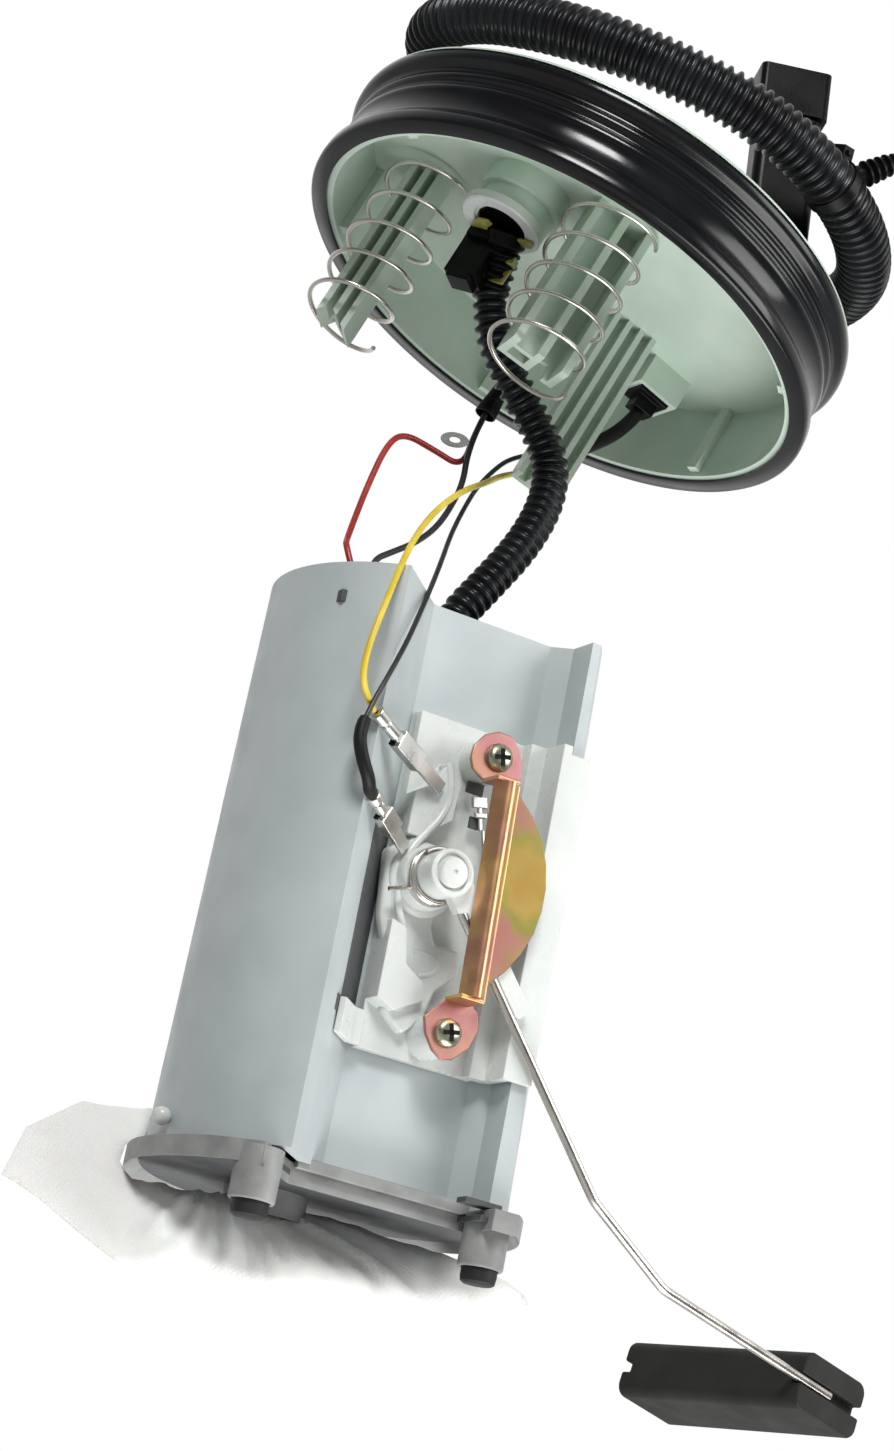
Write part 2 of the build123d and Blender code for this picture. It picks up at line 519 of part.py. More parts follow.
def impeller():
    """The vaned impeller, keyed to the motor shaft."""
    disc = cylinder(PUMP_X, PUMP_Y, CAN_Z + 1.6, IMPELLER_RADIUS, IMPELLER_THICKNESS)
    slot = block(IMPELLER_RADIUS - 2.6, IMPELLER_RADIUS + 1, -0.8, 0.8, CAN_Z, CAN_Z + 8)
    for index in range(16):
        disc -= Pos(PUMP_X, PUMP_Y, 0) * Rot(0, 0, index * 22.5) * slot
    return disc - cylinder(PUMP_X, PUMP_Y, CAN_Z - 4, SHAFT_RADIUS, 20)


def armature():
    """The motor's armature with shaft and commutator."""
    shaft = cylinder(PUMP_X, PUMP_Y, CAN_Z - 2, SHAFT_RADIUS, PUMP_CAN_LENGTH + 2.6)
    core_z = CAN_Z + 13
    core = cylinder(PUMP_X, PUMP_Y, core_z, ARMATURE_RADIUS, ARMATURE_LENGTH)
    for index in range(8):
        slot = block(ARMATURE_RADIUS - 4, ARMATURE_RADIUS + 1, -0.7, 0.7, core_z - 1, core_z + ARMATURE_LENGTH + 1)
        core -= Pos(PUMP_X, PUMP_Y, 0) * Rot(0, 0, index * 45) * slot
    return shaft + core + cylinder(PUMP_X, PUMP_Y, core_z + ARMATURE_LENGTH, 7, 5)


def magnet(side):
    """One of the two arc magnets in the can."""
    z = CAN_Z + 11
    outer = PUMP_RADIUS - PUMP_CAN_WALL
    ring = cylinder(PUMP_X, PUMP_Y, z, outer, 30) - cylinder(PUMP_X, PUMP_Y, z - 1, outer - MAGNET_THICKNESS, 32)
    keep = block(-20, 20, 4, 20, 0, 100)
    return ring & (Pos(PUMP_X, PUMP_Y, 0) * Rot(0, 0, 0 if side > 0 else 180) * keep)


def isolator(z):
    """A rubber isolator ring around the pump can."""
    ring = cylinder(PUMP_X, PUMP_Y, z, PUMP_RADIUS + ISOLATOR_THICKNESS, 7)
    return ring - cylinder(PUMP_X, PUMP_Y, z - 1, PUMP_RADIUS, 9)


def pump_cradle():
    """The cradle that carries the pump's isolators on three legs from the base plate."""
    outer = PUMP_RADIUS + ISOLATOR_THICKNESS
    cradle = Part()
    for z in (CAN_Z + 4, CAN_TOP_Z - 12):
        ring = cylinder(PUMP_X, PUMP_Y, z, outer + 1.8, 7) - cylinder(PUMP_X, PUMP_Y, z - 1, outer, 9)
        cradle += ring
    for angle in (60, 200, 320):
        leg = block(outer + 0.4, outer + 2.4, -3, 3, 0, CAN_TOP_Z - 6)
        cradle += Pos(PUMP_X, PUMP_Y, 0) * Rot(0, 0, angle) * leg
    return cradle


# ---------------------------------------------------------------- level sender, in the reservoir's frame
PLATE_BACK = PANEL_SETBACK + SENDER_GAP
PLATE_FRONT = PLATE_BACK + SENDER_PLATE_THICKNESS


def sender_plate():
    """The white sender body: back plate, wall along the rib, lugs, screw posts and the hub's pin."""
    x0, x1 = SENDER_LEFT_X, SENDER_RIGHT_X
    z0, z1 = SENDER_BOTTOM_Z, SENDER_TOP_Z
    rib_front = -RIB_FRONT_Y + SENDER_GAP
    plate = panel_prism(((x0, z0), (x1 - 3.6, z0), (x1 - 3.6, z1), (x0, z1)), PLATE_FRONT, PLATE_BACK)
    y1 = -PLATE_FRONT + 0.3
    plate += extruded(((x1 - 6.5, y1), (x1 - 1.6, y1), (x1, y1 - 1.7), (x1, y1 - 3.7), (x1 - 6.5, y1 - 3.7)), z0, z1)
    plate += block(x1 - 2.4, x1, -rib_front - SENDER_LIP, -PLATE_FRONT - 1.5, z0, z1)
    plate += block(x1 - 2.4, x1 + 5.2, -rib_front - SENDER_LIP, -rib_front, z0, z1 - 2)
    for z in (EAR_TOP_Z, EAR_BOTTOM_Z):
        plate += panel_disc(EAR_X, z, 5.2, BRACKET_PLANE, PLATE_FRONT - 0.5)
    plate += panel_disc(HUB_X, HUB_Z, HUB_PIN_RADIUS, HUB_TOP + 1.5, PLATE_FRONT - 0.5)
    upper_lug = ((x0, 88), (-2.5, 91), (0.5, 97), (4.5, 93), (4.0, 84), (-1.0, 80), (-3.4, 78), (x0, 78))
    plate += panel_prism(upper_lug, PLATE_FRONT + 4.4, PLATE_FRONT - 0.5)
    lower_lug = ((x0, 58), (-2.6, 57), (-1.0, 49), (4.0, 46), (5.0, 42), (-2.0, 38), (x0, 40))
    plate += panel_prism(lower_lug, PLATE_FRONT + 5.5, PLATE_FRONT - 0.5)
    for z in (EAR_TOP_Z, EAR_BOTTOM_Z):
        plate -= panel_disc(EAR_X, z, SCREW_SHANK_RADIUS, BRACKET_PLANE + 1, PLATE_BACK + 1)
    return plate


def sender_clip():
    """The clip at the sender's lower left, lying along the slanted wall."""
    along, out = Vector(-0.667, -0.745), Vector(0.745, -0.667)
    corner = Vector(PANEL_LEFT_X, -PANEL_SETBACK)
    near, far = corner + out * SENDER_GAP, corner + out * (SENDER_GAP + 1.6)
    outline = [near + along * 4.4, near + along * 14, far + along * 14, far + along * 5.4]
    points = [(point.X, point.Y) for point in outline]
    points += [(SENDER_LEFT_X - 0.1, -PLATE_FRONT - 1.6), (SENDER_LEFT_X - 0.1, -PLATE_FRONT)]
    return extruded(points, SENDER_BOTTOM_Z, SENDER_BOTTOM_Z + 8)


def half_moon_bracket():
    """The plated bracket: two ears, risers, a bar standing out over the hub's lever, and a half-moon shield."""
    back, front = BRACKET_PLANE, BRACKET_PLANE + BRACKET_SHEET
    outer = back + BRACKET_BAR_DEPTH
    left = EAR_X - 1.2 - BRACKET_BAR_WIDTH / 2
    right = left + BRACKET_BAR_WIDTH
    z0, z1 = EAR_BOTTOM_Z + 7.0, EAR_TOP_Z - 7.0
    bracket = block(left, right, -outer, -outer + BRACKET_SHEET, z0, z1)
    bracket += block(left, left + BRACKET_SHEET, -outer, -SHIELD_PLANE, z0, z1)
    bracket += block(right - BRACKET_SHEET, right, -outer, -SHIELD_PLANE, z0, z1)
    for z, reach in ((z0, -3.0), (z1 - BRACKET_SHEET, 3.0 + BRACKET_SHEET)):
        bracket += block(left, right, -outer, -back, z, z + BRACKET_SHEET)
        bracket += block(left, right, -front, -back, min(z, z + reach), max(z, z + reach))
    shield = panel_disc(right + 0.6 + SHIELD_SAGITTA - SHIELD_RADIUS, (z0 + z1) / 2 + 1.5, SHIELD_RADIUS,
                        SHIELD_PLANE + BRACKET_SHEET, SHIELD_PLANE)
    bracket += shield & block(right - 0.5, right + 40, -outer, 0, 0, RESERVOIR_HEIGHT)
    for z in (EAR_TOP_Z, EAR_BOTTOM_Z):
        bracket += panel_disc(EAR_X, z, 6.0, front, back)
    for z in (EAR_TOP_Z, EAR_BOTTOM_Z):
        bracket -= panel_disc(EAR_X, z, SCREW_SHANK_RADIUS + 0.1, front + 1, back - 1)
    return bracket


def bracket_screw():
    """A pan-head screw with a cross recess, head's underside at the origin, shank towards +Y."""
    head = Rot(90, 0, 0) * Cylinder(SCREW_HEAD_RADIUS, 2.2, align=(Align.CENTER, Align.CENTER, Align.MIN))
    shank = Rot(-90, 0, 0) * Cylinder(SCREW_SHANK_RADIUS - 0.02, 7, align=(Align.CENTER, Align.CENTER, Align.MIN))
    cross = Pos(0, -2.0, 0) * Box(3.4, 1.4, 0.9) + Pos(0, -2.0, 0) * Box(0.9, 1.4, 3.4)
    return head + shank - cross


def arm_hub():
    """The white hub on the sender's pin, with the lever whose groove grips the arm wire."""
    back = PLATE_FRONT + SENDER_GAP
    lever_back = LEVER_TOP - LEVER_THICKNESS
    hub = panel_disc(HUB_X, HUB_Z, HUB_RADIUS, HUB_TOP, back)
    hub += panel_disc(HUB_X, HUB_Z, HUB_RADIUS + 2.2, back + 3.2, back)
    reach, half = LEVER_LENGTH, LEVER_WIDTH / 2
    lever = block(-2, reach, -LEVER_TOP, -lever_back, -half, half)
    lever += block(-2, 14, -LEVER_TOP, -lever_back + 3.5, -half - 1, half + 1)
    lever -= block(HUB_RADIUS + 1, reach + 1, -LEVER_TOP - 1, -ARM_PLANE + ARM_WIRE_RADIUS + 0.03,
                   -ARM_WIRE_RADIUS - 0.03, ARM_WIRE_RADIUS + 0.03)
    hub += Pos(HUB_X, 0, HUB_Z) * Rot(0, lever_angle(), 0) * lever
    hub -= panel_disc(HUB_X, HUB_Z, HUB_PIN_RADIUS + HUB_CLEARANCE, 60, 0)
    return hub


def hub_spring():
    """The steel ring spring around the hub's barrel."""
    low = PLATE_FRONT + SENDER_GAP + 3.4
    ring = panel_disc(HUB_X, HUB_Z, HUB_RADIUS + 1.5, low + 1.6, low)
    return ring - panel_disc(HUB_X, HUB_Z, HUB_RADIUS, low + 5, low - 5)


def lever_angle():
    """How far the lever and the arm's first run dip below horizontal, in degrees, seen from outside."""
    x, z = ARM_BENDS[0]
    return math.degrees(math.atan2(HUB_Z - z, x - HUB_X))


def arm_route():
    """The arm wire's points: a run from the hub, two bends in its plane, then the end turned back to the float."""
    dip = math.radians(lever_angle())
    start = HUB_RADIUS + 1.6
    points = [(HUB_X + start * math.cos(dip), -ARM_PLANE, HUB_Z - start * math.sin(dip))]
    points += [(x, -ARM_PLANE, z) for x, z in ARM_BENDS]
    end_yaw, end_dip = math.radians(ARM_END_YAW), math.radians(ARM_END_DIP)
    x, z = ARM_BENDS[-1]
    points.append((x + ARM_END_REACH * math.cos(end_yaw) * math.cos(end_dip),
                   -ARM_PLANE + ARM_END_REACH * math.sin(end_yaw) * math.cos(end_dip),
                   z - ARM_END_REACH * math.sin(end_dip)))
    return points


def arm_wire():
    """The float arm: one bent steel wire."""
    path = FilletPolyline(*arm_route(), radius=[9.0, 7.0])
    start = Plane(path @ 0, z_dir=path % 0)
    return sweep(start * Circle(ARM_WIRE_RADIUS), path=path)


def float_block():
    """The nitrile float: a rounded block with a groove across each end, the front one holding the wire."""
    body = Box(FLOAT_WIDTH, FLOAT_LENGTH, FLOAT_HEIGHT)
    body = fillet(body.edges().filter_by(Axis.Y), 3.0)
    groove = Box(FLOAT_WIDTH + 2, 5.0, 2 * ARM_WIRE_RADIUS + 0.3)
    for end in (-1, 1):
        body -= Pos(0, end * FLOAT_LENGTH / 2, 0) * groove
    tip = arm_route()[-1]
    turned = Rot(0, 0, ARM_END_YAW) * Rot(0, ARM_END_DIP, 0)
    seat = Pos(FLOAT_WIDTH / 2 - 12.0, FLOAT_LENGTH / 2 - 2.5 + ARM_WIRE_RADIUS + 0.1, 0) * body
    return Pos(*tip) * turned * seat


def terminal(start, end):
    """One crimped blade terminal between two points of the reservoir's frame: crimp, box and blade."""
    run = Vector(*end) - Vector(*start)
    length = run.length
    body = Box(2.4, 2.0, 5.0, align=(Align.CENTER, Align.CENTER, Align.MIN))
    body += Pos(0, 0, 4.8) * Box(3.4, 2.4, 7.4, align=(Align.CENTER, Align.CENTER, Align.MIN))
    body -= Pos(0, -0.9, 5.6) * Box(2.0, 1.2, 5.8, align=(Align.CENTER, Align.CENTER, Align.MIN))
    body += Pos(0, 0, 12) * Box(2.8, 0.8, length - 12, align=(Align.CENTER, Align.CENTER, Align.MIN))
    side = run.cross(Vector(0, 1, 0))
    return Plane(origin=start, x_dir=side, z_dir=run) * body


def wire_boot():
    """The moulded boot where the two pump wires leave their sleeve."""
    x, y, z = PUMP_LEAD_POINTS[-1]
    boot = Cone(PUMP_LEAD_DIAMETER / 2 + 1.0, PUMP_LEAD_DIAMETER / 2, BOOT_LENGTH)
    return Pos(x, y, z - BOOT_LENGTH / 2 - 0.1) * boot


def hose_coupler():
    """The push-on coupler at the outlet hose's free end."""
    x, y, z = OUTLET_HOSE_POINTS[-1]
    forward = Vector(x, y, z) - Vector(*OUTLET_HOSE_POINTS[-2])
    radius = OUTLET_HOSE_DIAMETER / 2
    body = Cylinder(radius + 0.7, 13, align=(Align.CENTER, Align.CENTER, Align.MIN))
    body += Pos(0, 0, 12) * Cylinder(radius - 0.6, 7, align=(Align.CENTER, Align.CENTER, Align.MIN))
    body -= Pos(0, 0, 6) * Cylinder(COUPLER_BORE_RADIUS, 20, align=(Align.CENTER, Align.CENTER, Align.MIN))
    for side in (-1, 1):
        body += Pos(side * (radius + 0.9), 0, 7) * Box(1.8, 5.0, 8.0)
    return Plane(origin=(x, y, z), x_dir=forward.cross(Vector(0, 0, 1)), z_dir=forward) * body


def fir_tree_clip():
    """The band around the outlet hose with its buckle and ribbed fir-tree stud."""
    path = FilletPolyline(*OUTLET_HOSE_POINTS, radius=bend_radii(OUTLET_HOSE_POINTS))
    here = path @ OUTLET_CLIP_AT
    radius = OUTLET_HOSE_DIAMETER / 2
    band = Cylinder(radius + 1.4, 8) - Cylinder(radius + 0.35, 10)
    clip = Plane(origin=here, z_dir=path % OUTLET_CLIP_AT) * band
    stud = Cylinder(1.8, 9, align=(Align.CENTER, Align.CENTER, Align.MIN))
    for index in range(4):
        stud += Pos(0, 0, 2.2 + 1.7 * index) * Cone(3.2, 2.2, 1.2, align=(Align.CENTER, Align.CENTER, Align.MIN))
    stud += Pos(0, 0, 9) * Cone(2.2, 0.3, 3.4, align=(Align.CENTER, Align.CENTER, Align.MIN))
    away = Vector(0.5, 0.0, 0.75).normalized()
    clip += Plane(origin=here + away * (radius + 1.9), z_dir=away) * stud
    above = Vector(-0.3, -0.3, 1).normalized()
    return clip + Plane(origin=here + above * (radius + 3.1), z_dir=above) * Box(3.4, 3.4, 3.2)


def shell_peg():
    """The small round peg low on the shell's left."""
    return Pos(-RESERVOIR_BASE_RADIUS - 2.0, -1.8, 4.6) * Sphere(2.1)


def pump_plug():
    """The plug on the pump's outlet cap that takes the two pump wires."""
    return block(PUMP_X - 10, PUMP_X - 4, PUMP_Y - 7, PUMP_Y + 7, PUMP_TOP_Z, PUMP_TOP_Z + 10.6)


# ---------------------------------------------------------------- write the nodes
def write_flange():
    """Every node that stays with the flange."""
    save("flange_cap", flange_cap())
    save("seal_ring", seal_ring())
    left = Pos(LEFT_POST_X, LEFT_POST_Y, FLOOR_Z - 1.2) * guide_spring(LEFT_SPRING_RADIUS, LEFT_SPRING_PITCH)
    center = Pos(CENTER_POST_X, CENTER_POST_Y, FLOOR_Z - 1.2) * guide_spring(CENTER_SPRING_RADIUS, CENTER_SPRING_PITCH)
    save("left_spring", left)
    save("center_spring", center)
    save("quick_connect", quick_connect())
    save("retainer_clip", retainer_clip())
    save("port_plug", port_plug())
    save("top_elbow", top_elbow())
    save("hose_coupler", hose_coupler())
    save("fir_tree_clip", fir_tree_clip())
    save("connector_tower", connector_tower())


def write_cords():
    """The hoses and wires between the flange and the reservoir, and the hose on top."""
    save("hose_upper", tube("hose_upper", HOSE_UPPER_POINTS, PUMP_HOSE_DIAMETER))
    save("hose_lower", tube("hose_lower", HOSE_LOWER_POINTS, PUMP_HOSE_DIAMETER))
    save("wire_red", tube("wire_red", RED_POINTS, THICK_WIRE_DIAMETER))
    save("wire_black", tube("wire_black", BLACK_POINTS, THICK_WIRE_DIAMETER))
    save("wire_yellow", tube("wire_yellow", YELLOW_POINTS, YELLOW_WIRE_DIAMETER))
    save("wire_sender", tube("wire_sender", SENDER_POINTS, THIN_WIRE_DIAMETER))
    save("heat_shrink", tube("heat_shrink", SLEEVE_POINTS, SLEEVE_DIAMETER))
    save("pump_lead", tube("pump_lead", PUMP_LEAD_POINTS, PUMP_LEAD_DIAMETER))
    save("sender_lead", tube("sender_lead", SENDER_LEAD_POINTS, SENDER_LEAD_DIAMETER))
    save("wire_boot", wire_boot())
    save("outlet_hose", tube("outlet_hose", OUTLET_HOSE_POINTS, OUTLET_HOSE_DIAMETER))


def write_reservoir():
    """The reservoir and what stays with it."""
    save("reservoir_shell", hang(reservoir_shell()))
    save("base_plate", hang(base_plate()))
    for index, (x, y) in enumerate(FOOT_SPOTS):
        save(f"rubber_foot_{index + 1}", hang(rubber_foot(x, y)))
    save("strainer_sock", hang(strainer_sock()))
    save("strainer_neck", hang(strainer_neck()))
    save("shell_peg", hang(shell_peg()))


def write_pump():
    """The pump and its cradle."""
    save("pump_can", hang(pump_can()))
    save("pump_inlet", hang(pump_inlet()))
    save("pump_outlet", hang(pump_outlet()))
    save("impeller", hang(impeller()))
    save("armature", hang(armature()))
    save("magnet_left", hang(magnet(-1)))
    save("magnet_right", hang(magnet(1)))
    save("isolator_lower", hang(isolator(CAN_Z + 4)))
    save("isolator_upper", hang(isolator(CAN_TOP_Z - 12)))
    save("pump_cradle", hang(pump_cradle()))
    save("pump_plug", hang(pump_plug()))


def write_sender():
    """The level sender, its arm and float."""
    save("sender_plate", hang(sender_plate()))
    save("sender_clip", hang(sender_clip()))
    save("half_moon_bracket", hang(half_moon_bracket()))
    head = BRACKET_PLANE + BRACKET_SHEET
    save("screw_top", hang(Pos(EAR_X, -head, EAR_TOP_Z) * bracket_screw()))
    save("screw_bottom", hang(Pos(EAR_X, -head, EAR_BOTTOM_Z) * bracket_screw()))
    save("arm_hub", hang(arm_hub()))
    save("hub_spring", hang(hub_spring()))
    save("arm_wire", hang(arm_wire()))
    save("float_block", hang(float_block()))
    save("terminal_upper", hang(terminal((-21.0, -32.5, 100.0), (-1.0, -20.4, 91.4))))
    save("terminal_lower", hang(terminal((-20.0, -30.5, 82.0), (-5.6, -20.4, 75.0))))


write_flange()
write_cords()
write_reservoir()
write_pump()
write_sender()
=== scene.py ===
"""Looks of the fuel pump module: finishes, hoses, wires, springs and the skins of the moulded pieces."""

import json
import logging
import math
from dataclasses import dataclass
from enum import Enum

import bmesh
import bpy
from mathutils import Matrix, Vector, noise

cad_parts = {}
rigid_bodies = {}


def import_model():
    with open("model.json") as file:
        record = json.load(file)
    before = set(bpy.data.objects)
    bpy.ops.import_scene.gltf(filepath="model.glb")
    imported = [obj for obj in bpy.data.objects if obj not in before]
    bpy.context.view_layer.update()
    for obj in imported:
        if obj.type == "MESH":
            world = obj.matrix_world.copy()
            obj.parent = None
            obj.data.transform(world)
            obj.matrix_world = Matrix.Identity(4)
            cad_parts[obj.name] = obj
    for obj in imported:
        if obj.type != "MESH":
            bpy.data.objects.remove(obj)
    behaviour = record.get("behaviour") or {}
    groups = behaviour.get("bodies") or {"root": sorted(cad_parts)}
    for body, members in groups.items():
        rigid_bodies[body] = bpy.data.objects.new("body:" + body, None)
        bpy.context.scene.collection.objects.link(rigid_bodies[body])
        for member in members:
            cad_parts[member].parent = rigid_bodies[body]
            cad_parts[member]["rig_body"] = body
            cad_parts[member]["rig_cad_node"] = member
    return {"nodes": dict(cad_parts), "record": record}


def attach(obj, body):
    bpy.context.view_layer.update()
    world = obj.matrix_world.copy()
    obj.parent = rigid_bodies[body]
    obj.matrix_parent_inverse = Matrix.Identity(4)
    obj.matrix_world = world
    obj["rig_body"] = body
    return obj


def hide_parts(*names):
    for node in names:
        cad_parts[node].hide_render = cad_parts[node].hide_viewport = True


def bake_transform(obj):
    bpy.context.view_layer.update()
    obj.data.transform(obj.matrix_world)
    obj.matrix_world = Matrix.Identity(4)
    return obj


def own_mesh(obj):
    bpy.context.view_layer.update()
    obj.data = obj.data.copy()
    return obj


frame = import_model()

LOG = logging.getLogger("fuel_pump_module")
MM = 0.001
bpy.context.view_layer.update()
TO_METRES = Matrix.Scale(MM, 4)
SHARP_ANGLE = 34.0
FULL_TURN = 2 * math.pi

Piece = bpy.types.Object
Mesh = bmesh.types.BMesh
Tree, Node, Socket = bpy.types.NodeTree, bpy.types.Node, bpy.types.NodeSocket
Point = tuple[float, float, float]
Spot = tuple[float, float]
Outline = tuple[Spot, ...]
Blocks = tuple[tuple[Point, Point], ...]


# ---------------------------------------------------------------- finishes
def feed(tree: Tree, node: Node, inputs: dict) -> None:
    """Fills a node's inputs.

    Args:
        tree: The node tree.
        node: The node.
        inputs: For each input's name or number, its value or the socket that drives it.
    """
    for name, value in inputs.items():
        if isinstance(value, Socket):
            tree.links.new(value, node.inputs[name])
        else:
            node.inputs[name].default_value = value


def add_node(tree: Tree, kind: str, inputs: dict, **settings: str) -> Node:
    """Adds a shader node.

    Args:
        tree: The node tree.
        kind: Its type, without the leading ShaderNode.
        inputs: For each input's name or number, its value or the socket that drives it.
        settings: The node's own settings.

    Returns:
        The node.
    """
    node = tree.nodes.new(f"ShaderNode{kind}")
    for name, value in settings.items():
        setattr(node, name, value)
    feed(tree, node, inputs)
    return node


COAT_ROUGHNESS = 0.12
SUBSURFACE_REACH = 0.004
SMUDGE_SHARE = 0.4
THREAD_SCALE = 0.31
RELIEF_STRENGTH = 0.6
SMUDGE_RANGE = (0.3, 0.7)
RAMP_ENDS = (0.35, 0.68)
PLATED_STOPS = ((0.40, (0.31, 0.21, 0.06)), (0.52, (0.22, 0.20, 0.05)), (0.64, (0.31, 0.14, 0.12)))


class Pattern(Enum):
    """What a finish's colour and fine grain look like."""

    MOULDED = "moulded"
    WOVEN = "woven"
    PLATED = "plated"


@dataclass(frozen=True)
class Finish:
    """One surface finish, in a maker's terms.

    Attributes:
        slot: The record's material slot that it dresses, or a name of its own.
        colour: Main colour, linear.
        tint: Second colour that drifts through the first.
        roughness: Middle roughness.
        spread: How far roughness wanders either way.
        grain: Grain size in metres.
        relief: Grain height in metres.
        drift: Size of the colour drift in metres.
        metallic: 1 for bare metal.
        coat: Clear gloss over the surface.
        gloss: Strength of its clear reflection, 0.5 for common plastic.
        subsurface: How much light the plastic lets through.
        pattern: Kind of grain.
    """

    slot: str
    colour: Point
    tint: Point
    roughness: float = 0.45
    spread: float = 0.08
    grain: float = 0.0006
    relief: float = 0.00003
    drift: float = 0.02
    metallic: float = 0.0
    coat: float = 0.0
    gloss: float = 0.5
    subsurface: float = 0.0
    pattern: Pattern = Pattern.MOULDED

    def build(self) -> bpy.types.Material:
        """Makes the material.

        Returns:
            A node material on Object coordinates.
        """
        material = bpy.data.materials.new(f"finish_{self.slot}")
        material.use_nodes = True
        tree = material.node_tree
        place = add_node(tree, "TexCoord", {}).outputs["Object"]
        feed(tree, tree.nodes["Principled BSDF"], {
            "Metallic": self.metallic, "Coat Weight": self.coat, "Coat Roughness": COAT_ROUGHNESS,
            "Specular IOR Level": self.gloss, "Subsurface Weight": self.subsurface,
            "Subsurface Scale": SUBSURFACE_REACH, "Base Color": self._colour(tree, place),
            "Roughness": self._roughness(tree, place), "Normal": self._grain(tree, place)})
        return material

    def _noise(self, tree: Tree, place: Socket, size: float, detail: float = 3.0) -> Socket:
        """The value of a noise of a given feature size."""
        settings = {"Scale": 1.0 / size, "Detail": detail, "Vector": place}
        return add_node(tree, "TexNoise", settings).outputs["Fac"]

    def _colour(self, tree: Tree, place: Socket) -> Socket:
        """Makes the base colour: a slow drift between the two colours.

        Args:
            tree: The material's node tree.
            place: Object coordinates.

        Returns:
            The colour.
        """
        ramp = add_node(tree, "ValToRGB", {"Fac": self._noise(tree, place, self.drift)})
        low, high = ramp.color_ramp.elements
        low.position, high.position = RAMP_ENDS
        low.color, high.color = (*self.colour, 1), (*self.tint, 1)
        if self.pattern is Pattern.PLATED:
            for position, colour in PLATED_STOPS:
                ramp.color_ramp.elements.new(position).color = (*colour, 1)
        return ramp.outputs["Color"]

    def _roughness(self, tree: Tree, place: Socket) -> Socket:
        """Lets the roughness wander, as handling and mould wear do.

        Args:
            tree: The material's node tree.
            place: Object coordinates.

        Returns:
            The roughness.
        """
        smudge = self._noise(tree, place, self.drift * SMUDGE_SHARE, 4.0)
        lowest, highest = SMUDGE_RANGE
        return add_node(tree, "MapRange", {
            "From Min": lowest, "From Max": highest, "To Min": max(self.roughness - self.spread, 0.04),
            "To Max": min(self.roughness + self.spread, 1.0), "Value": smudge}).outputs["Result"]

    def _grain(self, tree: Tree, place: Socket) -> Socket:
        """Makes the fine relief of the surface.

        Args:
            tree: The material's node tree.
            place: Object coordinates.

        Returns:
            The bent normal.
        """
        if self.pattern is Pattern.WOVEN:
            height = self._weave(tree, place)
        else:
            height = self._noise(tree, place, self.grain, 2.0)
        settings = {"Strength": RELIEF_STRENGTH, "Distance": self.relief, "Height": height}
        return add_node(tree, "Bump", settings).outputs["Normal"]

    def _weave(self, tree: Tree, place: Socket) -> Socket:
        """Crosses the threads of a plain weave.

        Args:
            tree: The material's node tree.
            place: Object coordinates.

        Returns:
            Their height.
        """
        threads = {"Vector": place, "Scale": THREAD_SCALE / self.grain, "Distortion": 0.6, "Detail": 0.0}
        heights = [add_node(tree, "TexWave", threads, bands_direction=direction).outputs["Fac"]
                   for direction in ("X", "Y")]
        return add_node(tree, "Math", dict(enumerate(heights)), operation="MAXIMUM").outputs["Value"]


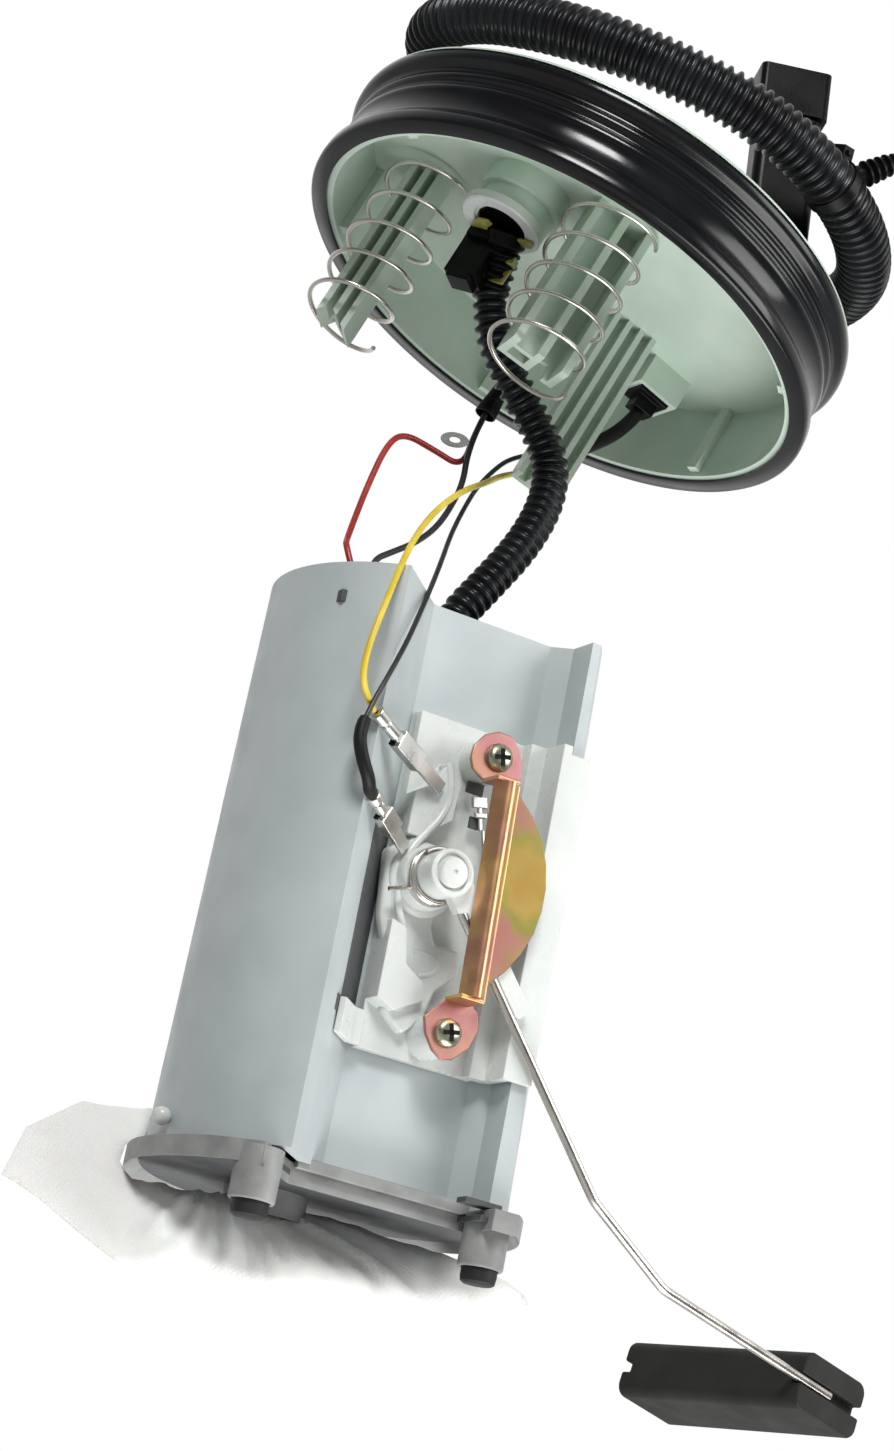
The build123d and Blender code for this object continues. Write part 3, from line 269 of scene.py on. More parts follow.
FINISHES = (
    Finish("cap_plastic", (0.47, 0.57, 0.48), (0.54, 0.64, 0.55), 0.36, relief=0.00002, subsurface=0.12),
    Finish("seal_rubber", (0.003, 0.003, 0.004), (0.007, 0.008, 0.009), 0.20, 0.05, drift=0.03,
           relief=0.00001, gloss=0.36),
    Finish("spring_steel", (0.62, 0.58, 0.53), (0.74, 0.71, 0.66), 0.26, metallic=1.0),
    Finish("black_plastic", (0.002, 0.002, 0.002), (0.005, 0.005, 0.005), 0.34, relief=0.00003, gloss=0.12),
    Finish("clip_plastic", (0.17, 0.17, 0.04), (0.38, 0.36, 0.10), 0.25, drift=0.004, coat=0.3),
    Finish("hose_plastic", (0.004, 0.004, 0.005), (0.012, 0.014, 0.016), 0.32, 0.07, relief=0.00001,
           gloss=0.24),
    Finish("black_sleeve", (0.006, 0.006, 0.006), (0.014, 0.013, 0.013), 0.5, relief=0.00002, gloss=0.2),
    Finish("red_insulation", (0.24, 0.008, 0.006), (0.36, 0.02, 0.015), 0.36, drift=0.01, relief=0.000004),
    Finish("black_insulation", (0.006, 0.006, 0.006), (0.014, 0.014, 0.014), 0.4, drift=0.01,
           relief=0.000004),
    Finish("yellow_insulation", (0.60, 0.44, 0.02), (0.74, 0.58, 0.06), 0.4, drift=0.01, relief=0.000004),
    Finish("reservoir_plastic", (0.42, 0.465, 0.47), (0.48, 0.525, 0.525), 0.40, relief=0.00001,
           subsurface=0.05),
    Finish("base_plastic", (0.20, 0.205, 0.20), (0.30, 0.305, 0.295), 0.48, drift=0.008, relief=0.00004),
    Finish("foot_rubber", (0.006, 0.006, 0.006), (0.016, 0.016, 0.016), 0.6),
    Finish("sock_mesh", (0.80, 0.81, 0.78), (0.86, 0.87, 0.85), 0.65, grain=0.0006, relief=0.00010,
           subsurface=0.15, pattern=Pattern.WOVEN),
    Finish("pump_steel", (0.55, 0.55, 0.55), (0.63, 0.62, 0.60), 0.3, metallic=1.0),
    Finish("pump_alloy", (0.50, 0.50, 0.50), (0.58, 0.58, 0.57), 0.45, metallic=1.0),
    Finish("white_plastic", (0.59, 0.62, 0.60), (0.66, 0.68, 0.65), 0.30, relief=0.00001, subsurface=0.12),
    Finish("magnet_ferrite", (0.05, 0.053, 0.055), (0.08, 0.083, 0.085), 0.6),
    Finish("plated_steel", (0.30, 0.20, 0.05), (0.32, 0.14, 0.11), 0.42, 0.06, drift=0.019, metallic=0.9,
           relief=0.00001, pattern=Pattern.PLATED),
    Finish("plated_ear", (0.42, 0.19, 0.19), (0.45, 0.25, 0.16), 0.42, 0.06, drift=0.008, metallic=0.85,
           relief=0.00001),
    Finish("plated_bar", (0.70, 0.44, 0.17), (0.62, 0.30, 0.21), 0.32, 0.05, drift=0.010, metallic=0.9,
           relief=0.00001),
    Finish("plated_screw", (0.34, 0.35, 0.24), (0.50, 0.52, 0.38), 0.30, drift=0.003, metallic=0.9,
           relief=0.00001),
    Finish("float_foam", (0.010, 0.010, 0.009), (0.020, 0.020, 0.018), 0.66, 0.1, grain=0.0005,
           relief=0.00005, gloss=0.3),
    Finish("tinned_metal", (0.60, 0.60, 0.57), (0.72, 0.72, 0.68), 0.30, metallic=1.0, relief=0.00001),
)
MATERIALS: dict[str, bpy.types.Material] = {}
SLOT_OF = {entry["node"]: entry["material_slot"] for entry in frame["record"]["subparts"]}


def dress(piece: Piece, slot: str) -> None:
    """Gives a piece the finish of a slot.

    Args:
        piece: The mesh to dress.
        slot: The record's material slot, or the name of a finish of its own.
    """
    piece.data.materials.clear()
    piece.data.materials.append(MATERIALS[slot])


# ---------------------------------------------------------------- placing
def axes_at(spot: Vector, x: Vector, y: Vector, z: Vector) -> Matrix:
    """The frame at a spot with the given axes."""
    return Matrix.Translation(spot) @ Matrix((x, y, z)).transposed().to_4x4()


def pointed(spot: Vector, direction: Vector) -> Matrix:
    """The frame at a spot whose Z points along a direction."""
    return Matrix.Translation(spot) @ direction.to_track_quat("Z", "Y").to_matrix().to_4x4()


def turned(spot: Point, degrees: float, axis: str = "Z") -> Matrix:
    """The frame at a spot, turned about one axis."""
    return Matrix.Translation(spot) @ Matrix.Rotation(math.radians(degrees), 4, axis)


RESERVOIR_FOOT = Vector((60.0961, 10.6410, -208.9038)) * MM
RESERVOIR_ACROSS = Vector((0.879735, 0.339013, 0.333372))
RESERVOIR_BACK = Vector((-0.337759, 0.939078, -0.063654))
RESERVOIR_UP = Vector((-0.334642, -0.056600, 0.940644))
RESERVOIR = axes_at(RESERVOIR_FOOT, RESERVOIR_ACROSS, RESERVOIR_BACK, RESERVOIR_UP) @ TO_METRES
UPRIGHT = Matrix(((1, 0, 0, 0), (0, 0, -1, 0), (0, 1, 0, 0), (0, 0, 0, 1)))


# ---------------------------------------------------------------- mesh helpers
def link(name: str, data: bpy.types.ID) -> Piece:
    """Puts data into the scene.

    Args:
        name: The object's name.
        data: What it shows.

    Returns:
        The object, at the origin.
    """
    made = bpy.data.objects.new(name, data)
    bpy.context.scene.collection.objects.link(made)
    return made


def shaded(name: str, mesh: Mesh, smooth_angle: float) -> Piece:
    """Turns a bmesh into an object with smooth shading.

    Args:
        name: The piece's name.
        mesh: The shape, which is freed.
        smooth_angle: Edges sharper than this many degrees stay crisp.

    Returns:
        The object, at the origin.
    """
    data = bpy.data.meshes.new(name)
    mesh.to_mesh(data)
    mesh.free()
    data.shade_smooth()
    data.set_sharp_from_angle(angle=math.radians(smooth_angle))
    LOG.info("piece %s", name)
    return link(name, data)


def to_object(name: str, mesh: Mesh, slot: str, smooth_angle: float = 40.0) -> Piece:
    """Cleans a bmesh in metres and turns it into a dressed object.

    Args:
        name: The piece's name.
        mesh: The shape, which is freed.
        slot: The finish's slot.
        smooth_angle: Edges sharper than this many degrees stay crisp.

    Returns:
        The new object, at the origin.
    """
    bmesh.ops.remove_doubles(mesh, verts=mesh.verts, dist=1e-7)
    bmesh.ops.recalc_face_normals(mesh, faces=mesh.faces)
    piece = shaded(name, mesh, smooth_angle)
    dress(piece, slot)
    return piece


def round_edges(piece: Piece, width: float, segments: int = 2) -> None:
    """Rounds a piece's sharp edges.

    Args:
        piece: The piece.
        width: Radius in millimetres.
        segments: Steps across the rounding.
    """
    rounding = piece.modifiers.new("rounding", "BEVEL")
    rounding.width = width * MM
    rounding.segments = segments
    rounding.limit_method = "ANGLE"
    rounding.angle_limit = math.radians(SHARP_ANGLE)
    even = piece.modifiers.new("even_shading", "WEIGHTED_NORMAL")
    even.keep_sharp = False


def settle(name: str, mesh: Mesh, slot: str, body: str, node: str = "", edge: float = 0.0, segments: int = 2,
           smooth_angle: float = 40.0, place: Matrix = TO_METRES) -> Piece:
    """Places a mesh that is drawn in millimetres, dresses it and fixes it to its body.

    Args:
        name: The piece's name.
        mesh: The shape, which is freed.
        slot: The finish's slot.
        body: The body that it rides on.
        node: The CAD node that it replaces, if any.
        edge: Radius of its edges in millimetres, or 0 to leave them sharp.
        segments: Steps across the rounding.
        smooth_angle: Edges sharper than this many degrees stay crisp.
        place: The frame that it is drawn in.

    Returns:
        The new object, at the origin.
    """
    bmesh.ops.transform(mesh, matrix=place, verts=mesh.verts)
    piece = to_object(name, mesh, slot, smooth_angle)
    if edge:
        round_edges(piece, edge, segments)
    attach(piece, body)
    if node:
        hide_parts(node)
    return piece


def skin(node: str, edge: float) -> Piece:
    """Models a moulded skin over a CAD node: merged faces, rounded edges and even shading.

    Args:
        node: The CAD node that the skin replaces.
        edge: Radius of its edges, in millimetres.

    Returns:
        The skin, riding on the node's body.
    """
    mesh = bmesh.new()
    mesh.from_mesh(frame["nodes"][node].data)
    bmesh.ops.remove_doubles(mesh, verts=mesh.verts, dist=2e-6)
    bmesh.ops.dissolve_limit(mesh, angle_limit=math.radians(0.6), verts=mesh.verts, edges=mesh.edges)
    piece = shaded(f"{node}_skin", mesh, SHARP_ANGLE)
    round_edges(piece, edge)
    dress(piece, SLOT_OF[node])
    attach(piece, frame["nodes"][node]["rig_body"])
    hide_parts(node)
    return piece


def spline_path(points: tuple[Point, ...]) -> list[Vector]:
    """Reads the smooth line through a route's control points.

    Args:
        points: Control points in millimetres.

    Returns:
        Points along the line, in metres.
    """
    curve = bpy.data.curves.new("route", "CURVE")
    curve.dimensions = "3D"
    curve.resolution_u = 14
    spline = curve.splines.new("NURBS")
    spline.points.add(len(points) - 1)
    for control, point in zip(spline.points, points):
        control.co = (*(Vector(point) * MM), 1)
    spline.order_u = 3
    spline.use_endpoint_u = True
    holder = bpy.data.objects.new("route", curve)
    line = bpy.data.meshes.new_from_object(holder)
    path = [vertex.co.copy() for vertex in line.vertices]
    bpy.data.objects.remove(holder)
    bpy.data.curves.remove(curve)
    bpy.data.meshes.remove(line)
    return path


def walk(path: list[Vector], step: float) -> list[Matrix]:
    """Frames at even steps along a path, turned as little as possible from one to the next.

    Args:
        path: Points in metres.
        step: Wanted distance between frames, in metres.

    Returns:
        Placement matrices whose Z runs along the path.
    """
    lengths = [0.0]
    for before, after in zip(path, path[1:]):
        lengths.append(lengths[-1] + (after - before).length)
    count = max(round(lengths[-1] / step), 4)
    places, index = [], 0
    for number in range(count + 1):
        target = lengths[-1] * number / count
        while index < len(path) - 2 and lengths[index + 1] < target:
            index += 1
        share = (target - lengths[index]) / max(lengths[index + 1] - lengths[index], 1e-9)
        places.append(path[index].lerp(path[index + 1], share))
    side = Vector((0, 0, 1))
    frames = []
    for number, place in enumerate(places):
        ahead = (places[min(number + 1, count)] - places[max(number - 1, 0)]).normalized()
        if abs(ahead.dot(side)) > 0.95 and number == 0:
            side = Vector((1, 0, 0))
        side = (side - ahead * ahead.dot(side)).normalized()
        frames.append(axes_at(place, side, ahead.cross(side), ahead))
    return frames


def tube_mesh(frames: list[Matrix], radii: list[float], sides: int) -> Mesh:
    """A closed tube through frames, one ring of its own radius at each.

    Args:
        frames: Placement of each ring.
        radii: Radius of each ring, in metres.
        sides: Faces round the tube.

    Returns:
        The tube, with both ends closed.
    """
    mesh = bmesh.new()
    rings = []
    for place, radius in zip(frames, radii):
        made = bmesh.ops.create_circle(mesh, cap_ends=False, segments=sides, radius=radius, matrix=place)
        rings.append(made["verts"])
    for before, after in zip(rings, rings[1:]):
        for index in range(sides):
            following = (index + 1) % sides
            mesh.faces.new((before[index], before[following], after[following], after[index]))
    mesh.faces.new(list(reversed(rings[0])))
    mesh.faces.new(rings[-1])
    return mesh


def bricks(mesh: Mesh, corners: Blocks, place: Matrix | None = None) -> None:
    """Adds blocks to a mesh.

    Args:
        mesh: The mesh to add to.
        corners: The lowest and the highest corner of each block.
        place: Where the corners' frame stands, or None for the mesh's own.
    """
    for low, high in corners:
        size = [b - a for a, b in zip(low, high)]
        middle = [(a + b) / 2 for a, b in zip(low, high)]
        own = Matrix.Translation(middle) @ Matrix.Diagonal((*size, 1))
        bmesh.ops.create_cube(mesh, size=1.0, matrix=(place or Matrix()) @ own)


def prism(mesh: Mesh, outline: Outline, low: float, high: float,
          place: Matrix | None = None) -> None:
    """Adds an upright prism over an outline to a mesh.

    Args:
        mesh: The mesh to add to.
        outline: (x, y) corners.
        low: Height of its foot.
        high: Height of its top.
        place: Where the outline's frame stands, or None for the mesh's own.
    """
    place = place or Matrix()
    foot = mesh.faces.new([mesh.verts.new(place @ Vector((x, y, low))) for x, y in outline])
    raised = bmesh.ops.extrude_face_region(mesh, geom=[foot])["geom"]
    moved = [item for item in raised if isinstance(item, bmesh.types.BMVert)]
    bmesh.ops.translate(mesh, verts=moved, vec=(place.to_3x3() @ Vector((0, 0, high - low))))


def lathe(mesh: Mesh, section: Outline, place: Matrix | None = None, steps: int = 48) -> None:
    """Adds a turned solid to a mesh.

    Args:
        mesh: The mesh to add to.
        section: (radius, height) points from one end of the section to the other.
        place: Where the axis stands, or None for the mesh's own Z.
        steps: Faces round it.
    """
    points = [mesh.verts.new((radius, 0, height)) for radius, height in section]
    edges = [mesh.edges.new(pair) for pair in zip(points, points[1:])]
    before = set(mesh.verts) - set(points)
    bmesh.ops.spin(mesh, geom=points + edges, cent=(0, 0, 0), axis=(0, 0, 1), angle=FULL_TURN, steps=steps,
                   use_merge=True)
    made = [vertex for vertex in mesh.verts if vertex not in before]
    bmesh.ops.remove_doubles(mesh, verts=made, dist=1e-5)
    made = [vertex for vertex in mesh.verts if vertex not in before]
    bmesh.ops.transform(mesh, matrix=place or Matrix(), verts=made)


# ---------------------------------------------------------------- view and light
@dataclass(frozen=True)
class Studio:
    """The camera, the floor and the soft light.

    Attributes:
        camera_place: Where the camera stands, in metres.
        right: The camera's right.
        up: The camera's up.
        ahead: Where it looks.
        lens: Its focal length in millimetres.
        sensor_width: Its sensor in millimetres.
        target: What the lamps point at, in metres.
        floor_height: Height of the floor in metres.
        floor_size: Half the floor's side in metres.
        front_level: The world's light from in front.
        back_level: The world's light from behind the object.
    """

    camera_place: Vector = Vector((29.74, -805.36, -410.38)) * MM
    right: Vector = Vector((0.8525, -0.1857, 0.4886))
    up: Vector = Vector((-0.5227, -0.3029, 0.7969))
    ahead: Vector = Vector((0.0, 0.9347, 0.3553))
    lens: float = 92.8
    sensor_width: float = 36.0
    target: Vector = Vector((30.0, -10.0, -110.0)) * MM
    floor_height: float = -2.4
    floor_size: float = 6.0
    front_level: float = 0.13
    back_level: float = 1.0

    def camera(self) -> None:
        """Sets the camera at the viewing angle."""
        data = bpy.data.cameras.new("view")
        data.lens = self.lens
        data.sensor_width = self.sensor_width
        data.clip_start, data.clip_end = 0.01, 50.0
        camera = link("view", data)
        camera.matrix_world = axes_at(self.camera_place, self.right, self.up, -self.ahead)
        bpy.context.scene.camera = camera

    def floor(self) -> None:
        """A plain pale floor below the hanging module."""
        mesh = bmesh.new()
        bmesh.ops.create_grid(mesh, x_segments=2, y_segments=2, size=self.floor_size,
                              matrix=Matrix.Translation((0, 0, self.floor_height)))
        data = bpy.data.meshes.new("floor")
        mesh.to_mesh(data)
        mesh.free()
        material = bpy.data.materials.new("floor_paint")
        material.use_nodes = True
        tree = material.node_tree
        feed(tree, tree.nodes["Principled BSDF"], {"Base Color": (0.80, 0.80, 0.80, 1), "Roughness": 0.7})
        data.materials.append(material)
        link("floor", data)

    def world(self) -> None:
        """White to the camera; as a light it is bright behind the object and dim in front."""
        world = bpy.data.worlds.new("studio")
        bpy.context.scene.world = world
        world.use_nodes = True
        tree = world.node_tree
        rays = add_node(tree, "LightPath", {}).outputs
        seen = add_node(tree, "Math", {0: rays["Is Camera Ray"], 1: rays["Is Transmission Ray"]},
                        operation="MAXIMUM").outputs["Value"]
        direction = add_node(tree, "TexCoord", {}).outputs["Generated"]
        behind = add_node(tree, "VectorMath", {0: direction, 1: self.ahead}, operation="DOT_PRODUCT")
        wall = add_node(tree, "MapRange", {
            "Value": behind.outputs["Value"], "From Min": -0.1, "From Max": 0.9,
            "To Min": self.front_level, "To Max": self.back_level}).outputs["Result"]
        level = add_node(tree, "Mix", {"Factor": seen, "A": wall, "B": 1.0}, data_type="FLOAT")
        feed(tree, tree.nodes["Background"], {"Color": (1, 1, 1, 1), "Strength": level.outputs["Result"]})

    def lamp(self, name: str, side: float, high: float, near: float, power: float, width: float) -> None:
        """One soft box, placed in the camera's own directions.

        Args:
            name: The lamp's name.
            side: Metres to the camera's right of the object.
            high: Metres above it.
            near: Metres towards the camera.
            power: Watts.
            width: Edge length in metres.
        """
        data = bpy.data.lights.new(name, "AREA")
        data.energy, data.size = power, width
        lamp = link(name, data)
        lamp.location = self.target + self.right * side + self.up * high - self.ahead * near
        lamp.rotation_mode = "QUATERNION"
        lamp.rotation_quaternion = (self.target - lamp.location).to_track_quat("-Z", "Y")

    def build(self) -> None:
        """Sets the camera, the floor, the world, two wide soft boxes and a narrow one from above."""
        self.camera()
        self.floor()
        self.world()
        self.lamp("below", 0.15, -0.85, 0.40, 12.0, 0.8)
        self.lamp("right", 1.15, 0.20, 0.20, 8.0, 0.7)
        self.lamp("above", 0.15, 0.85, 0.58, 9.0, 0.3)
        bpy.context.scene.view_settings.view_transform = "Standard"


# ---------------------------------------------------------------- hoses and wires
class Stiffness(Enum):
    """How a cord bends."""

    LIMP = "limp"
    MEDIUM = "medium"
    STIFF = "stiff"


@dataclass(frozen=True)
class Route:
    """One cord: its CAD node, its control points and its facts.

    Attributes:
        node: The CAD node it replaces.
        points: Control points in millimetres.
        diameter: Outer diameter in millimetres.
        length: Real length in millimetres.
        stiffness: How it bends.
        far_end: What its far end is.
        pitch: Distance between corrugations in millimetres, or 0 for a plain cord.
    """

    node: str
    points: tuple[Point, ...]
    diameter: float
    length: float
    stiffness: Stiffness = Stiffness.LIMP
    far_end: str = "object"
    pitch: float = 0.0


WIRE_RED = Route(
    "wire_red",
    ((-1.8, 20.2, -23.4), (-1.5, 20.0, -28.6), (0.5, 15.0, -40.1), (-7.3, 10.0, -42.2), (-15.2, 4.0, -45.2),
     (-17.0, 1.0, -51.3), (-15.3, -2.5, -64.9), (-13.4, -6.0, -75.7), (-12.2, -10.0, -82.3),
     (-11.6, -13.6, -84.6), (-5.0, -13.9, -91.6), (0.5, -8.4, -102.6), (7.0, 0.6, -114.1),
     (13.3, 7.4, -126.9), (16.2, 8.8, -136.0)),
    1.5, 145)
WIRE_BLACK = Route(
    "wire_black",
    ((-1.8, 17.4, -23.4), (-1.6, 16.8, -28.0), (-0.1, 14.4, -36.8), (2.6, 12.0, -44.5), (3.4, 9.5, -52.2),
     (3.2, 6.0, -60.9), (1.1, 0.5, -69.3), (-2.1, -5.0, -76.6), (-4.9, -9.5, -82.8), (-1.5, -9.5, -91.7),
     (2.8, -2.8, -102.5), (6.7, 6.3, -114.4), (10.6, 13.7, -126.4), (13.8, 15.4, -136.4)),
    1.5, 131)
WIRE_YELLOW = Route(
    "wire_yellow",
    ((11.7, 33.0, -25.9), (9.4, 28.5, -29.9), (7.1, 20.5, -37.7), (3.7, 7.0, -48.8), (1.6, -8.5, -62.6),
     (1.1, -22.0, -75.6), (2.0, -34.5, -88.6), (3.8, -41.5, -101.3), (5.3, -43.6, -110.9),
     (6.6, -43.8, -116.6), (8.4, -42.2, -120.8), (11.2, -38.8, -122.8), (14.4, -35.0, -123.6)),
    1.5, 137)
WIRE_SENDER = Route(
    "wire_sender",
    ((11.1, 36.0, -19.1), (8.6, 33.5, -22.9), (6.9, 30.0, -29.0), (5.7, 23.5, -38.5), (6.0, 15.5, -48.6),
     (6.9, 6.0, -60.2), (8.8, -7.0, -73.2), (10.5, -20.2, -87.1), (12.3, -31.0, -102.5),
     (13.0, -36.4, -114.6), (13.2, -38.0, -123.1), (13.7, -38.6, -127.4)),
    1.2, 134)
SLEEVE = Route(
    "heat_shrink",
    ((13.7, -38.6, -127.4), (14.2, -39.2, -131.5), (17.7, -38.9, -135.8), (21.5, -36.4, -138.4),
     (22.6, -32.4, -139.0), (23.6, -30.1, -138.5)),
    3.0, 22, Stiffness.MEDIUM)
PUMP_LEAD = Route(
    "pump_lead",
    ((3.0, 27.0, 16.6), (2.8, 26.6, 9.6), (1.0, 23.6, 1.4), (-1.7, 19.2, -6.6), (-1.8, 18.8, -14.0)),
    3.6, 32.5, Stiffness.MEDIUM)
SENDER_LEAD = Route(
    "sender_lead",
    ((29.5, 38.0, 8.2), (28.6, 38.0, 2.4), (24.4, 37.8, -5.6), (18.6, 36.4, -14.0), (14.6, 35.0, -19.6)),
    3.6, 32, Stiffness.MEDIUM)
HOSE_UPPER = Route(
    "hose_upper",
    ((-15.8, 2.0, -2.5), (-10.4, 4.4, -11.0), (-1.0, 7.0, -17.0), (4.8, 8.1, -20.1)),
    9.0, 28, Stiffness.STIFF, pitch=2.7)
HOSE_LOWER = Route(
    "hose_lower",
    ((4.8, 8.1, -20.1), (10.6, 9.2, -23.2), (18.6, 9.4, -29.6), (22.4, 8.4, -39.6), (22.8, 6.0, -53.0),
     (20.4, 3.4, -67.6), (17.8, 0.9, -81.2), (20.0, 2.2, -93.4), (23.6, 6.6, -106.0), (26.6, 10.2, -118.0),
     (29.1, 11.1, -130.6)),
    9.0, 122, Stiffness.STIFF, pitch=2.7)
OUTLET_HOSE = Route(
    "outlet_hose",
    ((-33.6, -9.0, 35.0), (-46.6, -10.4, 33.6), (-58.0, -19.6, 32.4), (-58.6, -33.6, 32.6),
     (-49.0, -47.4, 32.8), (-35.4, -57.6, 32.8), (-20.2, -64.8, 33.2), (-3.6, -68.4, 34.2),
     (12.6, -68.8, 35.4), (26.6, -65.8, 35.9), (40.8, -57.8, 36.2), (51.4, -46.0, 36.6),
     (57.6, -31.4, 37.4), (58.6, -16.4, 38.4), (54.2, -1.6, 37.6), (45.0, 10.6, 35.4), (31.4, 17.6, 33.4),
     (17.0, 19.6, 32.0)),
    13.0, 264, Stiffness.STIFF, "connector", 2.5)


@dataclass(frozen=True)
class Cords:
    """The hoses and wires, in millimetres.

    Attributes:
        corrugation: Height of one corrugation at even steps, as a share of its depth.
        corrugation_depth: From crest to root.
        wire_step: Distance between a wire's rings.
        wire_end: Share of a wire's radius at its cut ends.
        wire_sides: Faces round a wire.
        hose_sides: Faces round a hose.
        wire_angle: Edges of a wire sharper than this many degrees stay crisp.
        hose_angle: The same for a hose.
        clip_share: Place of the fir-tree clip along the outlet hose.
        barbs: Ribs on the clip's stud.
        tag_section: Section of the ring tag.
    """

    corrugation: tuple[float, ...] = (0.55, 0.93, 1.0, 1.0, 0.93, 0.55, 0.12, 0.0, 0.0, 0.12)
    corrugation_depth: float = 1.15
    wire_step: float = 0.9
    wire_end: float = 0.86
    wire_sides: int = 14
    hose_sides: int = 40
    wire_angle: float = 60.0
    hose_angle: float = 75.0
    clip_share: float = 0.594
    barbs: int = 4
    tag_section: Outline = ((1.1, -0.3), (2.5, -0.3), (2.6, 0.0), (2.5, 0.3), (1.1, 0.3), (1.0, 0.0),
                            (1.1, -0.3))

    def draw(self, route: Route) -> tuple[Piece, list[Vector]]:
        """Draws a cord: a smooth wire or sleeve, or a hose with rounded crests and narrower roots.

        Args:
            route: The cord.

        Returns:
            Its piece and the path along its middle.
        """
        path = spline_path(route.points)
        radius = route.diameter / 2 * MM
        if route.pitch:
            sides, angle, shape = self.hose_sides, self.hose_angle, self.corrugation
            frames = walk(path, route.pitch * MM / len(shape))
            root = radius - self.corrugation_depth * MM
            radii = [root + (radius - root) * shape[index % len(shape)] for index in range(len(frames))]
        else:
            sides, angle = self.wire_sides, self.wire_angle
            frames = walk(path, self.wire_step * MM)
            radii = [radius] * len(frames)
            radii[0] = radii[-1] = radius * self.wire_end
        tube = tube_mesh(frames, radii, sides)
        return to_object(f"{route.node}_cord", tube, SLOT_OF[route.node], angle), path

    def lay(self, route: Route, with_pieces: tuple[Piece | str, ...] = ()) -> Piece:
        """Builds one cord, hides its CAD node and logs its length.

        Args:
            route: The cord.
            with_pieces: What is on it. Not used.

        Returns:
            The cord's piece.
        """
        piece, path = self.draw(route)
        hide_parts(route.node)
        LOG.info("cord %s, %.0f mm", route.node, sum((b - a).length for a, b in zip(path, path[1:])) / MM)
        return piece

    def across(self, piece: Piece) -> None:
        """Bakes a cord's placement into its mesh.

        Args:
            piece: The cord's piece.
        """
        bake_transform(piece)

    def fir_tree(self) -> Piece:
        """Makes the clip on the outlet hose: a narrow band in one groove, its buckle and the ribbed stud.

        Returns:
            The clip.
        """
        path = spline_path(OUTLET_HOSE.points)
        index = round((len(path) - 1) * self.clip_share)
        here = path[index] / MM
        ahead = (path[index + 1] / MM - here).normalized()
        radius = OUTLET_HOSE.diameter / 2
        mesh = bmesh.new()
        inner, outer, half = radius - 0.6, radius + 0.5, 1.3
        lathe(mesh, [(inner, -half), (outer, -half), (outer, half), (inner, half), (inner, -half)],
              pointed(here, ahead))
        away = Vector((0.5, 0.0, 0.75)).normalized()
        stud = [(0, 0), (2.6, 0), (2.6, 1.2), (1.7, 1.4)]
        for barb in range(self.barbs):
            foot, less = 2.4 + barb * 1.9, barb * 0.15
            stud += [(1.6, foot), (3.2 - less, foot + 0.2), (3.1 - less, foot + 0.6), (1.7, foot + 1.7)]
        stud += [(2.3, 10.2), (2.2, 10.8), (0.5, 13.2), (0, 13.4)]
        lathe(mesh, stud, pointed(here + away * (radius - 0.2), away), 28)
        above = Vector((-0.3, -0.3, 1)).normalized()
        bricks(mesh, (((-1.9, -1.9, -2.4), (1.9, 1.9, 1.6)), ((-2.6, -0.8, -0.4), (2.6, 0.8, 0.6))),
               pointed(here + above * (radius + 1.6), above))
        return settle("fir_tree_clip_piece", mesh, "black_plastic", "flange", "fir_tree_clip")

    def tag(self) -> None:
        """The small grey ring tag beside the black wire."""
        mesh = bmesh.new()
        flat = turned((-4.4, 10.4, -36.9), -24, "Y") @ Matrix.Diagonal((1.35, 0.8, 0.75, 1))
        lathe(mesh, self.tag_section, flat @ Matrix.Rotation(math.radians(90), 4, "X"), 32)
        settle("wire_tag", mesh, "base_plastic", "harness")

    def build(self) -> None:
        """Lays every cord."""
        sleeve, _ = self.draw(SLEEVE)
        sleeve.name = "heat_shrink_sleeve"
        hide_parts("heat_shrink")
        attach(sleeve, "reservoir")
        stub, _ = self.draw(HOSE_UPPER)
        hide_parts("hose_upper")
        self.across(stub)
        outlet = self.lay(OUTLET_HOSE, (skin("hose_coupler", 0.3), self.fir_tree()))
        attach(outlet, "flange")
        pump_lead = self.lay(PUMP_LEAD, (skin("wire_boot", 0.4),))
        self.across(pump_lead)
        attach(self.lay(SENDER_LEAD), "flange")
        for route, with_pieces, until in ((HOSE_LOWER, (stub,), 7), (WIRE_RED, (), 10), (WIRE_BLACK, (), 9),
                                          (WIRE_YELLOW, (), 8), (WIRE_SENDER, (sleeve,), 8)):
            self.across(self.lay(route, with_pieces))
        self.tag()


# ---------------------------------------------------------------- flange
@dataclass(frozen=True)
class Spring:
    """One guide post's coil.

    Attributes:
        node: Its CAD node.
        joint: The joint that presses it.
        place: Centre of its top, in millimetres.
        radius: Coil radius in millimetres.
        pitch: Distance between turns in millimetres.
        turns: Turns in the open part.
        wire: Wire diameter in millimetres.
        stroke: How far the joint presses it, in millimetres.
    """

    node: str
    joint: str
    place: Point
    radius: float
    pitch: float
    turns: float = 5.0
    wire: float = 1.15
    stroke: float = 20.0

    def build(self) -> None:
        """Winds the coil and fixes it to the flange."""
        x, y, top = self.place
        low = top - self.pitch * self.turns
        count = int(self.turns * 40)
        path = []
        for index in range(count + 1):
            angle = FULL_TURN * self.turns * index / count
            path.append(Vector((x + self.radius * math.cos(angle), y + self.radius * math.sin(angle),
                                low + self.pitch * self.turns * index / count)) * MM)
        frames = walk(path, 1.4 * MM)
        piece = to_object(f"{self.node}_coil", tube_mesh(frames, [self.wire / 2 * MM] * len(frames), 12),
                          "spring_steel", 60)
        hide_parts(self.node)
        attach(piece, "flange")
        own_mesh(piece)


